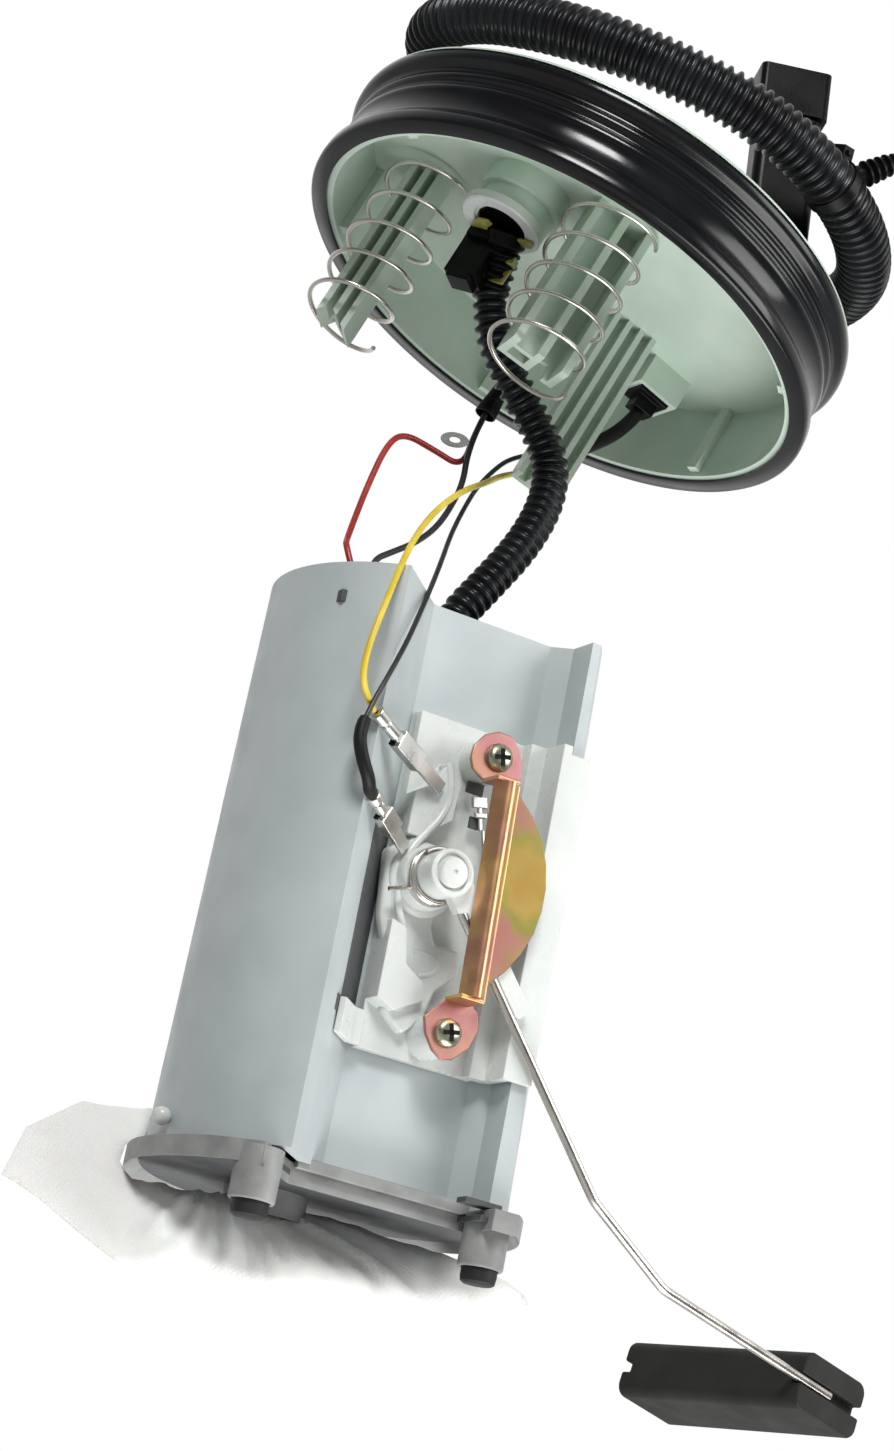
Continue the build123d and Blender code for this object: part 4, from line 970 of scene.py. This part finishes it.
@dataclass(frozen=True)
class Flange:
    """The cap and what stays with it, in millimetres.

    Attributes:
        nodes: The pieces that are skins of their CAD nodes.
        edge: Radius of the skins' edges.
        seal_profile: Section of the tank seal.
        fork: Outline of the retainer clip's plate.
        fork_low: Height of the plate's lower face.
        fork_high: Height of its upper face.
        clip_edge: The clip's folded edge.
        clip_leg: Its long leg and the toe on it.
        guide_ring: Section of the pale ring in the collar.
        face: Section of the connector's face.
        connector_axis: Where the connector's axis stands.
        latch_box: The blocks of the latch box.
        stub_foot: Where the hose stub starts.
        stub_end: Where it ends.
        ridges: Ridges round the stub.
    """

    nodes: tuple[str, ...] = ("flange_cap", "port_plug", "top_elbow", "connector_tower")
    edge: float = 0.3
    seal_profile: Outline = ((63.2, 0.0), (67.0, 0.0), (67.5, 0.5), (67.6, 1.4), (67.5, 3.0), (67.1, 4.0),
                             (66.4, 4.9), (65.6, 5.6), (65.1, 6.6), (65.0, 9.6), (65.2, 11.0), (65.5, 11.7),
                             (65.8, 12.2), (65.8, 13.2), (65.4, 13.7), (65.0, 14.1), (65.0, 14.9),
                             (65.4, 15.3), (65.9, 15.8), (65.9, 16.8), (65.4, 17.3), (65.2, 17.7),
                             (65.2, 18.5), (65.8, 19.1), (66.9, 19.5), (67.6, 20.2), (67.7, 21.6),
                             (67.5, 22.6), (67.25, 22.9), (67.2, 20.9), (63.5, 20.9), (63.5, 0.8),
                             (63.2, 0.8))
    fork: Outline = ((-28.2, -4.0), (-27.4, -8.4), (-25.0, -10.2), (-23.6, -9.4), (-24.4, -6.2),
                     (-22.6, -5.6), (-21.6, -8.6), (-18.6, -7.2), (-15.8, -10.6), (-12.6, -12.0),
                     (-12.4, -9.4), (-15.4, -7.0), (-18.0, -4.2), (-20.6, -1.6), (-24.0, -0.8),
                     (-27.0, -2.0))
    fork_low: float = 7.0
    fork_high: float = 7.6
    clip_edge: Blocks = (((-4.4, -0.3, -1.6), (4.4, 0.4, 0.6)),)
    clip_leg: Blocks = (((-2.6, -0.4, -6.4), (1.6, 0.3, 2.0)), ((0.4, -2.4, -1.6), (2.2, 0.2, 0.6)))
    guide_ring: Outline = ((6.7, 10.3), (6.7, 8.5), (7.0, 8.0), (9.9, 7.9), (10.4, 8.3), (10.5, 10.3),
                           (6.7, 10.3))
    face: Outline = ((0, 9.4), (6.5, 9.4), (6.5, 12.0), (0, 12.0))
    connector_axis: Point = (-22.0, -9.2, 0)
    latch_box: Blocks = (((-4.4, -3.2, -5.4), (4.4, 3.4, 7.0)), ((-2.6, -4.0, -7.2), (3.6, 1.6, -4.8)),
                         ((-4.9, -1.2, -2.6), (4.9, 1.4, 2.4)), ((-3.2, -5.2, 4.8), (3.2, 0.0, 9.6)))
    stub_foot: Vector = Vector((-19.4, -6.4, 9.6))
    stub_end: Vector = Vector((-15.9, 1.8, -2.4))
    ridges: int = 4

    def seal(self) -> None:
        """The tank seal, spun from its section."""
        mesh = bmesh.new()
        section = [mesh.verts.new((radius * MM, 0, height * MM)) for radius, height in self.seal_profile]
        edges = [mesh.edges.new(pair) for pair in zip(section, section[1:] + section[:1])]
        bmesh.ops.spin(mesh, geom=section + edges, cent=(0, 0, 0), axis=(0, 0, 1), angle=FULL_TURN, steps=180,
                       use_merge=True)
        piece = to_object("seal_ring_skin", mesh, "seal_rubber", 55)
        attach(piece, "flange")
        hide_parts("seal_ring")

    def retainer(self) -> None:
        """The olive spring clip: a forked plate over the connector's face, its folded edge and a long leg."""
        mesh = bmesh.new()
        prism(mesh, self.fork, self.fork_low, self.fork_high)
        bricks(mesh, self.clip_edge, turned((-24.4, -1.0, 7.0), -28))
        bricks(mesh, self.clip_leg, turned((-15.4, -3.4, 4.0), -32))
        settle("retainer_clip_plate", mesh, "clip_plastic", "flange", "retainer_clip", 0.15)

    def connector(self) -> None:
        """The pump connector: the pale guide ring, the black face, the latch box and the hose stub."""
        axis = Matrix.Translation(self.connector_axis)
        mesh = bmesh.new()
        lathe(mesh, self.guide_ring, axis)
        settle("collar_ring", mesh, "white_plastic", "flange")
        mesh = bmesh.new()
        lathe(mesh, self.face, axis)
        bricks(mesh, self.latch_box, turned((-22.8, -0.8, 0.0), -32))
        run = self.stub_end - self.stub_foot
        section = [(0, 0), (4.9, 0), (4.9, 3.2), (4.4, 3.8)]
        for ridge in range(self.ridges):
            low = 4.2 + ridge * 2.6
            section += [(3.5, low), (3.6, low + 0.4), (4.45, low + 0.8), (4.5, low + 1.5), (3.6, low + 2.1)]
        section += [(3.5, run.length), (0, run.length)]
        lathe(mesh, section, pointed(self.stub_foot, run), 40)
        settle("quick_connect_body", mesh, "black_plastic", "flange", "quick_connect", 0.3, smooth_angle=50)

    def build(self) -> None:
        """Skins the flange's pieces."""
        for node in self.nodes:
            skin(node, self.edge)
        self.seal()
        self.connector()
        self.retainer()
        Spring("left_spring", "left_spring_press", (-43.0, 11.0, 19.8), 10.2, 9.4).build()
        Spring("center_spring", "center_spring_press", (1.6, -17.5, 19.8), 11.4, 9.0).build()


# ---------------------------------------------------------------- reservoir
@dataclass(frozen=True)
class Reservoir:
    """The shell, its base and the strainer, in millimetres and in the reservoir's upright frame.

    Attributes:
        feet: Where the three feet stand.
        base_radius: Radius of the base.
        base_depth: Height of the base.
        rim: Width of the rim round the hollow underside.
        hollow: Depth of the underside.
        shade_plate_share: Size of the dark plate painted as shade in the hollow, as a share of the base.
        boss: Section of the boss round a foot.
        collar: Section of the strainer's collar.
        latch: The latch block at the base's front.
        rubber: Section of a rubber foot.
        slot: Dark strip painted as the shadow in the gap beside the sender.
        gaps: Dark blocks painted as the shade in the two latch gaps and the vent.
        sock_outline: The strainer's outline, seen from above.
        sock_level: Height of its middle.
        sock_lean: Cosine and sine of its lean.
        sock_cell: Size of its mesh's cells.
        cell_shift: Shift of the cells, off the outline's corners.
        cells: Cuts either way from the middle.
        seam_width: Distance over which it fills out from its seam.
    """

    feet: tuple[Spot, ...] = ((-30.0, -27.0), (31.0, -21.0), (0.0, 38.0))
    base_radius: float = 45.0
    base_depth: float = 5.0
    rim: float = 3.4
    hollow: float = 3.2
    shade_plate_share: float = 0.925
    boss: Outline = ((0, 0.2), (5.2, 0.2), (5.2, -11.2), (4.9, -11.6), (4.2, -11.6), (4.2, -9.0), (0, -9.0))
    collar: Outline = ((7.0, 0), (7.0, -8.6), (9.6, -8.6), (9.6, 0), (7.0, 0))
    latch: Blocks = (((-17.0, -19.2, -1.4), (26.8, -17.4, 1.2)),)
    rubber: Outline = ((0, -9.6), (4.1, -9.6), (4.1, -14.4), (3.9, -15.6), (3.3, -16.0), (0, -16.0))
    slot: Blocks = (((0.2, -0.2, 37.0), (12.6, 0.25, 82.0)), ((-1.2, -0.2, 33.6), (15.6, 0.25, 37.4)))
    gaps: Blocks = (((-16.5, -17.6, 0.4), (-9.5, -12.0, 1.5)), ((21.5, -26.2, 0.2), (31.0, -22.0, 1.5)),
                    ((-34.9, -20.6, 124.2), (-33.6, -18.2, 127.0)))
    sock_outline: Outline = ((-47.3, 33.2), (-29.5, 34.5), (-29.6, 31.0), (-32.8, 27.1), (-34.6, 24.9),
                             (-36.4, 23.6), (-39.6, 22.7), (-42.4, 17.4), (-41.8, 15.2), (-40, 13.2),
                             (-36, 12.6), (-30, 12.6), (-22, 14), (-12, 15.6), (3, 15.6), (20, 15.6),
                             (33, 15.2), (48, 12.2), (63, 8.9), (40, 2.6), (14, -3.2), (-16, -7.6),
                             (-44, -9.6), (-50.3, -10.4), (-74, 5), (-64.5, 20.6))
    sock_level: float = -20.0
    sock_lean: Spot = (0.743, 0.669)
    sock_cell: float = 1.5
    cell_shift: float = 0.37
    cells: int = 76
    seam_width: float = 9.0

    def base(self) -> None:
        """The foot: a rimmed plate, hollow underneath, with three bosses, the strainer's collar and painted
        shade in the hollow.
        """
        mesh = bmesh.new()
        outline = [(-17.5, -17.0), (27.4, -17.0), (27.4, -29.5), (33.98, -29.5)]
        for angle in (math.radians(degrees) for degrees in range(-37, 226, 3)):
            outline.append((self.base_radius * math.cos(angle), self.base_radius * math.sin(angle)))
        outline.append((-31.46, -32.18))
        prism(mesh, outline, -self.base_depth, 0.0)
        mesh.faces.ensure_lookup_table()
        under = min(mesh.faces, key=lambda face: face.calc_center_median().z)
        bmesh.ops.recalc_face_normals(mesh, faces=mesh.faces)
        bmesh.ops.inset_region(mesh, faces=[under], thickness=self.rim, depth=0)
        for vertex in under.verts:
            vertex.co.z += self.hollow
        for x, y in self.feet:
            lathe(mesh, self.boss, Matrix.Translation((x, y, -1.0)))
        lathe(mesh, self.collar, Matrix.Translation((-7.6, 13.1, -0.4)))
        bricks(mesh, self.latch)
        settle("base_plate_skin", mesh, "base_plastic", "reservoir", "base_plate", 0.4, place=RESERVOIR)
        # Painted shade: a dark plate over the hollow's floor, where the base shades it.
        mesh = bmesh.new()
        prism(mesh, [(x * self.shade_plate_share, y * self.shade_plate_share) for x, y in outline], -3.0, -1.9)
        settle("painted_shade_base_hollow", mesh, "magnet_ferrite", "reservoir", place=RESERVOIR)

    def foot(self, number: int, x: float, y: float) -> None:
        """Presses one rubber foot into its boss.

        Args:
            number: The foot's number.
            x: Where it stands, across.
            y: Where it stands, to the back.
        """
        mesh = bmesh.new()
        lathe(mesh, self.rubber, Matrix.Translation((x, y, 0)))
        settle(f"rubber_foot_{number}_skin", mesh, "foot_rubber", "reservoir", f"rubber_foot_{number}",
               place=RESERVOIR)

    def painted_shade_marks(self) -> None:
        """Dark blocks painted as shade: in the gap beside the sender, in the latch gaps over the base and in
        the small vent high on the left.
        """
        mesh = bmesh.new()
        slant = Matrix(((-0.667, 0.745, 0, -7.5), (-0.745, -0.667, 0, -12.0), (0, 0, 1, 0), (0, 0, 0, 1)))
        bricks(mesh, self.slot, slant)
        bricks(mesh, self.gaps)
        # These dark blocks are painted shade over the shell's openings.
        settle("painted_shade_shell_slots", mesh, "magnet_ferrite", "reservoir", edge=0.2, place=RESERVOIR)

    def sock(self) -> None:
        """The woven strainer: a sewn pillow with a flat flap, wrinkled along its seams."""
        cosine, sine = self.sock_lean
        stretch = 1 / cosine
        border = [Vector((x, y * stretch)) for x, y in self.sock_outline]
        mesh = bmesh.new()
        mesh.faces.new([mesh.verts.new((point.x, point.y, 0)) for point in border])
        for normal in (Vector((1, 0, 0)), Vector((0, 1, 0))):
            for step in range(-self.cells, self.cells + 1):
                whole = mesh.verts[:] + mesh.edges[:] + mesh.faces[:]
                cut = normal * (step * self.sock_cell + self.cell_shift)
                bmesh.ops.bisect_plane(mesh, geom=whole, plane_co=cut, plane_no=normal)
        bmesh.ops.triangulate(mesh, faces=[face for face in mesh.faces if len(face.verts) > 4])
        copied = bmesh.ops.duplicate(mesh, geom=mesh.faces[:])["geom"]
        lower = {item for item in copied if isinstance(item, bmesh.types.BMVert)}
        lean = Matrix.Translation((0, 0, self.sock_level))
        lean = lean @ Matrix(((1, 0, 0), (0, cosine, -sine), (0, sine, cosine))).to_4x4()
        for vertex in mesh.verts:
            self.swell(vertex, border, -1 if vertex in lower else 1)
        bmesh.ops.remove_doubles(mesh, verts=mesh.verts, dist=0.02)
        piece = settle("strainer_sock_bag", mesh, "sock_mesh", "reservoir", "strainer_sock", smooth_angle=180,
                       place=RESERVOIR @ lean)

    def swell(self, vertex: bmesh.types.BMVert, border: list[Vector], side: int) -> None:
        """Lifts one of the sock's points off its middle plane: full away from the seam, flat at the flap.

        Args:
            vertex: The point.
            border: The sock's seam.
            side: 1 for the upper layer, -1 for the lower.
        """
        flat = vertex.co.to_2d()
        distance = math.inf
        for start, end in zip(border, border[1:] + border[:1]):
            run = end - start
            share = max(0.0, min(1.0, (flat - start).dot(run) / run.length_squared))
            distance = min(distance, (flat - start - run * share).length)
        body = max(0.0, min(1.0, (flat.x + 44.0 - 0.2 * flat.y) / 5.0))
        seam = math.sqrt(max(0.0, 1 - (1 - min(distance / self.seam_width, 1.0)) ** 2))
        radial = math.atan2(flat.y - 22.0, flat.x + 20.0)
        folds = noise.noise(Vector((radial * 9.0, flat.length * 0.03, 2.0))) * 1.9
        folds += noise.noise(Vector((flat.x * 0.20, flat.y * 0.20, 7.0))) * 0.8
        height = 0.3 * min(distance / 0.5, 1.0) + (0.7 + 3.4 * body) * seam
        height += folds * seam * (0.25 + 0.75 * body)
        curl = noise.noise(Vector((flat.x * 0.05, flat.y * 0.05, 0.0))) * 1.4
        vertex.co = Vector((flat.x, flat.y, side * max(height, 0.02) + curl))

    def build(self) -> None:
        """Skins the reservoir's pieces and sews the strainer."""
        skin("reservoir_shell", 0.5)
        skin("strainer_neck", 0.3)
        dress(skin("shell_peg", 0.3), "white_plastic")
        self.base()
        for number, (x, y) in enumerate(self.feet, 1):
            self.foot(number, x, y)
        self.painted_shade_marks()
        self.sock()


@dataclass(frozen=True)
class Pump:
    """The pump's pieces inside the reservoir.

    Attributes:
        nodes: The pieces that are skins of their CAD nodes.
        edge: Radius of their edges in millimetres.
    """

    nodes: tuple[str, ...] = ("pump_cradle", "pump_outlet", "pump_plug", "isolator_upper")
    edge: float = 0.3

    def build(self) -> None:
        """Skins what shows through the reservoir's mouth."""
        for node in self.nodes:
            skin(node, self.edge)


# ---------------------------------------------------------------- level sender
@dataclass(frozen=True)
class Sender:
    """The level sender, its arm and float, in millimetres and in the reservoir's upright frame.

    Attributes:
        edges: The skins, each with the radius of its edges.
        lever: Outline of the hub's lever, along and beside the arm.
        lever_along: Direction of the arm on the panel.
        lever_beside: Direction across it.
        hub: The hub's axis on the panel.
        hub_section: Section of the hub.
        cap_section: Section of the stepped cap on the hub.
        boss_section: Section of the boss that the hub turns in.
        coil_turns: Turns of the hub spring.
        coil_radius: Its radius.
        coil_steps: Points for each radian of it.
        screws: The screws' axes on the panel.
        screw_head: Section of a screw.
        recess_shade_cross: Black blocks on the head, painted as the shade in its cross recess.
        upper_ear: Outline of the bracket's upper ear.
        lower_ear: Outline of its lower ear.
        shield: Outline of the half-moon shield.
        bar: Section of the folded bar.
        moulding: Outline of the raised moulding under the hub.
        guard_path: Route of the guard rail.
        hook_path: Route of the hook.
        fold_top: Outline of the bar's upper fold.
        fold_bottom: Outline of its lower fold.
        plates: The bracket's flat pieces: finish, outline, back, front and edge radius.
        crimps: Each terminal's start and end.
        grips: A terminal's rolled grips: foot and reach as shares of its length, and radius.
        card: The blocks of the resistor card.
        contact_springs: The blocks of the contact springs.
    """

    edges: tuple[tuple[str, float], ...] = (("sender_plate", 0.5), ("sender_clip", 0.2), ("float_block", 0.6),
                                            ("arm_wire", 0.1))
    lever: Outline = ((2.0, -1.6), (9.0, -1.6), (10.0, 0.7), (35.5, 0.7), (36.5, 1.6), (36.0, 4.4),
                      (34.5, 5.0), (10.0, 4.8), (6.0, 5.2), (2.0, 5.2))
    lever_along: Vector = Vector((0.652, -0.758))
    lever_beside: Vector = Vector((0.758, 0.652))
    hub: Spot = (0.0, 69.0)
    hub_section: Outline = ((2.55, -15.6), (5.4, -15.6), (5.4, -0.3), (5.1, 0), (2.55, 0), (2.55, -15.6))
    cap_section: Outline = ((0, -0.4), (5.4, -0.4), (5.5, 0.2), (5.3, 1.0), (4.6, 1.3), (4.2, 1.0),
                            (4.1, 0.5), (3.6, 0.5), (3.5, 1.5), (3.1, 2.1), (2.3, 2.3), (0.6, 2.3),
                            (0.5, 1.9), (0, 1.9))
    boss_section: Outline = ((5.55, -16.2), (8.6, -16.2), (8.6, -12.6), (8.2, -12.0), (7.3, -11.7),
                             (7.2, -8.9), (6.8, -8.4), (5.9, -8.4), (5.55, -8.8), (5.55, -16.2))
    coil_turns: float = 2.4
    coil_radius: float = 6.2
    coil_steps: int = 12
    screws: tuple[tuple[str, Spot], ...] = (("screw_top", (9.6, 99.8)), ("screw_bottom", (9.9, 35.5)))
    screw_head: Outline = ((0, -6.0), (1.5, -6.0), (1.5, 0), (3.2, 0), (3.3, 0.5), (3.0, 1.2), (2.2, 1.7),
                           (1.2, 1.9), (0, 1.95))
    recess_shade_cross: Blocks = (((-2.0, -0.5, 1.0), (2.0, 0.5, 2.06)), ((-0.5, -2.0, 1.0), (0.5, 2.0, 2.06)))
    upper_ear: Outline = ((2.6, 97.8), (2.9, 100.9), (5.3, 104.3), (8.6, 105.9), (11.9, 105.8),
                          (14.2, 103.6), (15.8, 100.4), (16.2, 97.2), (15.5, 94.6), (11.9, 94.0),
                          (6.6, 93.9), (3.6, 95.6))
    lower_ear: Outline = ((3.4, 37.7), (6.6, 41.4), (9.0, 43.6), (13.6, 43.8), (16.6, 42.2), (17.6, 38.4),
                          (16.0, 33.6), (12.4, 30.0), (9.6, 29.3), (7.0, 30.8), (4.6, 33.9))
    shield: Outline = ((12.6, 44.6), (14.1, 46.7), (18.2, 51.2), (21.4, 56.2), (23.6, 61.6), (24.6, 67.2),
                       (24.6, 72.4), (23.5, 78.0), (21.4, 82.8), (18.0, 87.4), (14.4, 90.6), (11.8, 92.2))
    bar: Outline = ((6.9, -29.8), (7.5, -30.6), (8.9, -32.5), (9.6, -33.1), (10.5, -33.2), (11.3, -32.8),
                    (12.0, -31.6), (12.4, -31.0), (13.2, -30.8), (13.2, -29.8), (11.8, -30.0),
                    (10.6, -32.0), (9.8, -32.1), (8.1, -29.8))
    moulding: Outline = ((-10.1, 73.6), (-5.6, 77.0), (3.0, 77.0), (6.0, 70.0), (4.8, 59.3), (6.5, 55.7),
                         (12.8, 55.9), (14.0, 50.6), (8.8, 45.1), (6.7, 38.1), (2.3, 33.8), (-3.6, 38.1),
                         (-4.4, 48.0), (-8.6, 58.7))
    guard_path: Outline = ((0.6, 96.5), (2.6, 91.5), (1.6, 84.5), (-2.2, 79.0), (-5.0, 74.6), (-6.4, 68.0),
                           (-5.4, 61.0), (-2.4, 56.6), (-3.4, 51.5), (-4.0, 44.0), (0.6, 39.0))
    hook_path: Outline = ((1.2, 52.8), (5.6, 53.4), (8.0, 51.4), (7.4, 48.6), (3.4, 47.6))
    fold_top: Outline = ((6.7, 93.2), (12.6, 93.2), (12.8, 94.2), (6.6, 94.2))
    fold_bottom: Outline = ((7.9, 42.6), (14.2, 42.6), (14.2, 43.6), (7.9, 43.6))
    plates: tuple[tuple[str, str, Outline, float, float, float], ...] = (
        ("bracket_shield", "plated_steel", shield, 29.8, 30.8, 0.25),
        ("bracket_ear_top", "plated_ear", upper_ear, 24.0, 25.0, 0.3),
        ("bracket_ear_bottom", "plated_ear", lower_ear, 24.0, 25.0, 0.3),
        ("bracket_fold_top", "plated_bar", fold_top, 24.4, 31.8, 0.3),
        ("bracket_fold_bottom", "plated_bar", fold_bottom, 24.4, 31.8, 0.3))
    crimps: tuple[tuple[str, Point, Point], ...] = (
        ("terminal_upper", (-27.2, -33.0, 98.3), (-1.4, -20.6, 90.0)),
        ("terminal_lower", (-22.6, -30.5, 80.7), (-7.4, -20.4, 74.3)))
    grips: tuple[Point, ...] = ((0.02, 0.12, 1.7), (0.17, 0.15, 1.35))
    card: Blocks = (((6.6, -18.4, 92.0), (10.8, -17.6, 94.6)), ((9.0, -18.2, 84.2), (11.4, -17.4, 86.8)))
    contact_springs: Blocks = (
        ((-1.6, -0.6, -1.2), (2.2, 0.4, 1.4)), ((-0.2, -0.3, -6.5), (0.9, 0.3, -1.0)),
        ((-1.4, -1.2, -3.6), (1.6, -0.2, -2.4)), ((0.4, -0.6, -14.0), (1.2, 0.0, -6.2)))

    def rail(self, name: str, spots: Outline, out: float, width: float) -> None:
        """A rounded moulded rail standing on the sender's plate.

        Args:
            name: The piece's name.
            spots: (x, z) points on the panel.
            out: Distance of its middle from the reservoir's axis plane.
            width: Its width in millimetres.
        """
        path = spline_path(tuple(tuple(RESERVOIR @ Vector((x, -out, z)) / MM) for x, z in spots))
        frames = walk(path, 1.0 * MM)
        tube = tube_mesh(frames, [width / 2 * MM] * len(frames), 16)
        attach(to_object(name, tube, "white_plastic", 60), "reservoir")

    def coil(self) -> None:
        """The steel spring wound round the hub, with its leg hooked on the plate."""
        x, z = self.hub
        path = [RESERVOIR @ Vector((x - 10.2, -22.8, z - 5.5))]
        for index in range(int(self.coil_turns * FULL_TURN * self.coil_steps)):
            angle = index / self.coil_steps
            path.append(RESERVOIR @ Vector((x + self.coil_radius * math.cos(angle), -23.4 - index * 0.016,
                                            z + self.coil_radius * math.sin(angle))))
        frames = walk(path, 0.9 * MM)
        tube = tube_mesh(frames, [0.5 * MM] * len(frames), 12)
        piece = to_object("hub_spring_coil", tube, "spring_steel", 60)
        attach(piece, "float_arm")
        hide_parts("hub_spring")

    def hub_rings(self) -> None:
        """The hub with its lever, the stepped cap on its face, and the fixed boss that it turns in."""
        out = turned((self.hub[0], -31.0, self.hub[1]), 90, "X")
        mesh = bmesh.new()
        lathe(mesh, self.hub_section, out)
        spots = [Vector(self.hub) + self.lever_along * reach + self.lever_beside * aside
                 for reach, aside in self.lever]
        prism(mesh, spots, 26.5, 29.4, UPRIGHT)
        settle("arm_hub_moulding", mesh, "white_plastic", "float_arm", "arm_hub", 0.5, 3, place=RESERVOIR)
        for name, section, body in (("hub_cap", self.cap_section, "float_arm"),
                                    ("hub_boss", self.boss_section, "reservoir")):
            mesh = bmesh.new()
            lathe(mesh, section, out)
            settle(name, mesh, "white_plastic", body, place=RESERVOIR)

    def panel_prism(self, name: str, slot: str, outline: Outline, low: float, high: float,
                    edge: float) -> None:
        """A plate parallel to the sender's plate.

        Args:
            name: The piece's name.
            slot: Its finish.
            outline: (x, z) corners on the panel.
            low: Where its back stands, measured out from the reservoir's axis.
            high: Where its front stands.
            edge: Radius of its edges.
        """
        mesh = bmesh.new()
        prism(mesh, outline, low, high, UPRIGHT)
        settle(name, mesh, slot, "reservoir", edge=edge, segments=3, place=RESERVOIR)

    def bracket(self) -> None:
        """The plated bracket: a folded bar, the half-moon shield and two ears with their screws."""
        mesh = bmesh.new()
        slope = Matrix(((1, 0, -0.026, 2.43), (0, 1, 0, 0), (0, 0, 1, 0), (0, 0, 0, 1)))
        prism(mesh, self.bar, 43.4, 93.2, slope)
        settle("bracket_bar", mesh, "plated_bar", "reservoir", "half_moon_bracket", smooth_angle=50,
               place=RESERVOIR)
        for plate in self.plates:
            self.panel_prism(*plate)
        for node, (x, z) in self.screws:
            self.screw(node, x, z)

    def screw(self, node: str, x: float, z: float) -> None:
        """Drives a pan-head screw, with a black cross on its head painted as the shade in its cross recess.

        Args:
            node: The CAD node that it replaces.
            x: Its axis, across.
            z: Its axis, up.
        """
        out = turned((x, -25.0, z), 90, "X")
        mesh = bmesh.new()
        lathe(mesh, self.screw_head, out, 36)
        settle(f"{node}_head", mesh, "plated_screw", "reservoir", node, place=RESERVOIR)
        # Painted shade: black blocks standing for the dark inside of the cross recess.
        mesh = bmesh.new()
        bricks(mesh, self.recess_shade_cross, out @ Matrix.Rotation(math.radians(12), 4, "Z"))
        settle(f"{node}_recess", mesh, "black_plastic", "reservoir", place=RESERVOIR)

    def crimp(self, node: str, start: Vector, end: Vector) -> None:
        """Crimps a terminal: two rolled grips on the wire, a box and the blade, with black blocks painted as
        the shade in the box's window and at its near end.

        Args:
            node: The CAD node that it replaces.
            start: Where the wire enters.
            end: Where the blade ends.
        """
        run = (end - start).normalized()
        side = run.cross(Vector((0, 1, 0))).normalized()
        place = axes_at(start, side, side.cross(run) * -1, run)
        size = (end - start).length
        mesh = bmesh.new()
        for foot, reach, width in self.grips:
            low, high = foot * size, (foot + reach) * size
            lathe(mesh, [(0.5, low), (width, low), (width + 0.15, low + 0.3), (width + 0.15, high - 0.3),
                         (width, high), (0.5, high)], place, 16)
        bricks(mesh, (((-1.2, -0.2, 0.1 * size), (1.2, 1.0, 0.4 * size)),
                      ((-2.3, -1.3, 0.36 * size), (2.3, 1.3, 0.68 * size)),
                      ((-1.9, -1.9, 0.38 * size), (-0.35, -1.2, 0.66 * size)),
                      ((0.35, -1.9, 0.38 * size), (1.9, -1.2, 0.66 * size)),
                      ((-1.7, -0.4, 0.66 * size), (1.7, 0.6, size + 0.6))), place)
        settle(f"{node}_crimp", mesh, "tinned_metal", "reservoir", node, 0.25, place=RESERVOIR)
        # Painted shade: black blocks for the box's window hole and the gap at its near end.
        mesh = bmesh.new()
        bricks(mesh, (((-0.5, -2.0, 0.5 * size), (0.7, -1.0, 0.5 * size + 1.2)),
                      ((-2.0, -1.45, 0.34 * size), (2.0, -0.6, 0.37 * size))), place)
        settle(f"{node}_window", mesh, "black_plastic", "reservoir", place=RESERVOIR)

    def contacts(self) -> None:
        """The bent contact springs beside the upper ear and the dark resistor card behind the bracket."""
        mesh = bmesh.new()
        bricks(mesh, self.card)
        settle("sender_card", mesh, "magnet_ferrite", "reservoir", place=RESERVOIR)
        mesh = bmesh.new()
        bricks(mesh, self.contact_springs, turned((10.0, -18.4, 90.2), -14, "Y"))
        settle("sender_contacts", mesh, "tinned_metal", "reservoir", edge=0.2, place=RESERVOIR)

    def build(self) -> None:
        """Skins the sender's pieces and adds their fine parts."""
        for node, edge in self.edges:
            skin(node, edge)
        self.rail("sender_guard", self.guard_path, 17.4, 3.2)
        self.rail("sender_guard_crest", self.guard_path, 19.0, 1.9)
        self.rail("sender_hook", self.hook_path, 17.2, 2.4)
        self.panel_prism("sender_moulding", "white_plastic", self.moulding, 14.6, 18.2, 1.1)
        self.bracket()
        self.coil()
        self.hub_rings()
        self.contacts()
        for node, start, end in self.crimps:
            self.crimp(node, Vector(start), Vector(end))


def main() -> None:
    """Builds every piece in order."""
    logging.basicConfig(level=logging.INFO, format="%(message)s")
    for finish in FINISHES:
        MATERIALS[finish.slot] = finish.build()
    Studio().build()
    Cords().build()
    Flange().build()
    Reservoir().build()
    Pump().build()
    Sender().build()
    skin("wire_boot", 0.3)
    for name, node in frame["nodes"].items():
        dress(node, SLOT_OF[name])


if __name__ == "__main__":
    main()
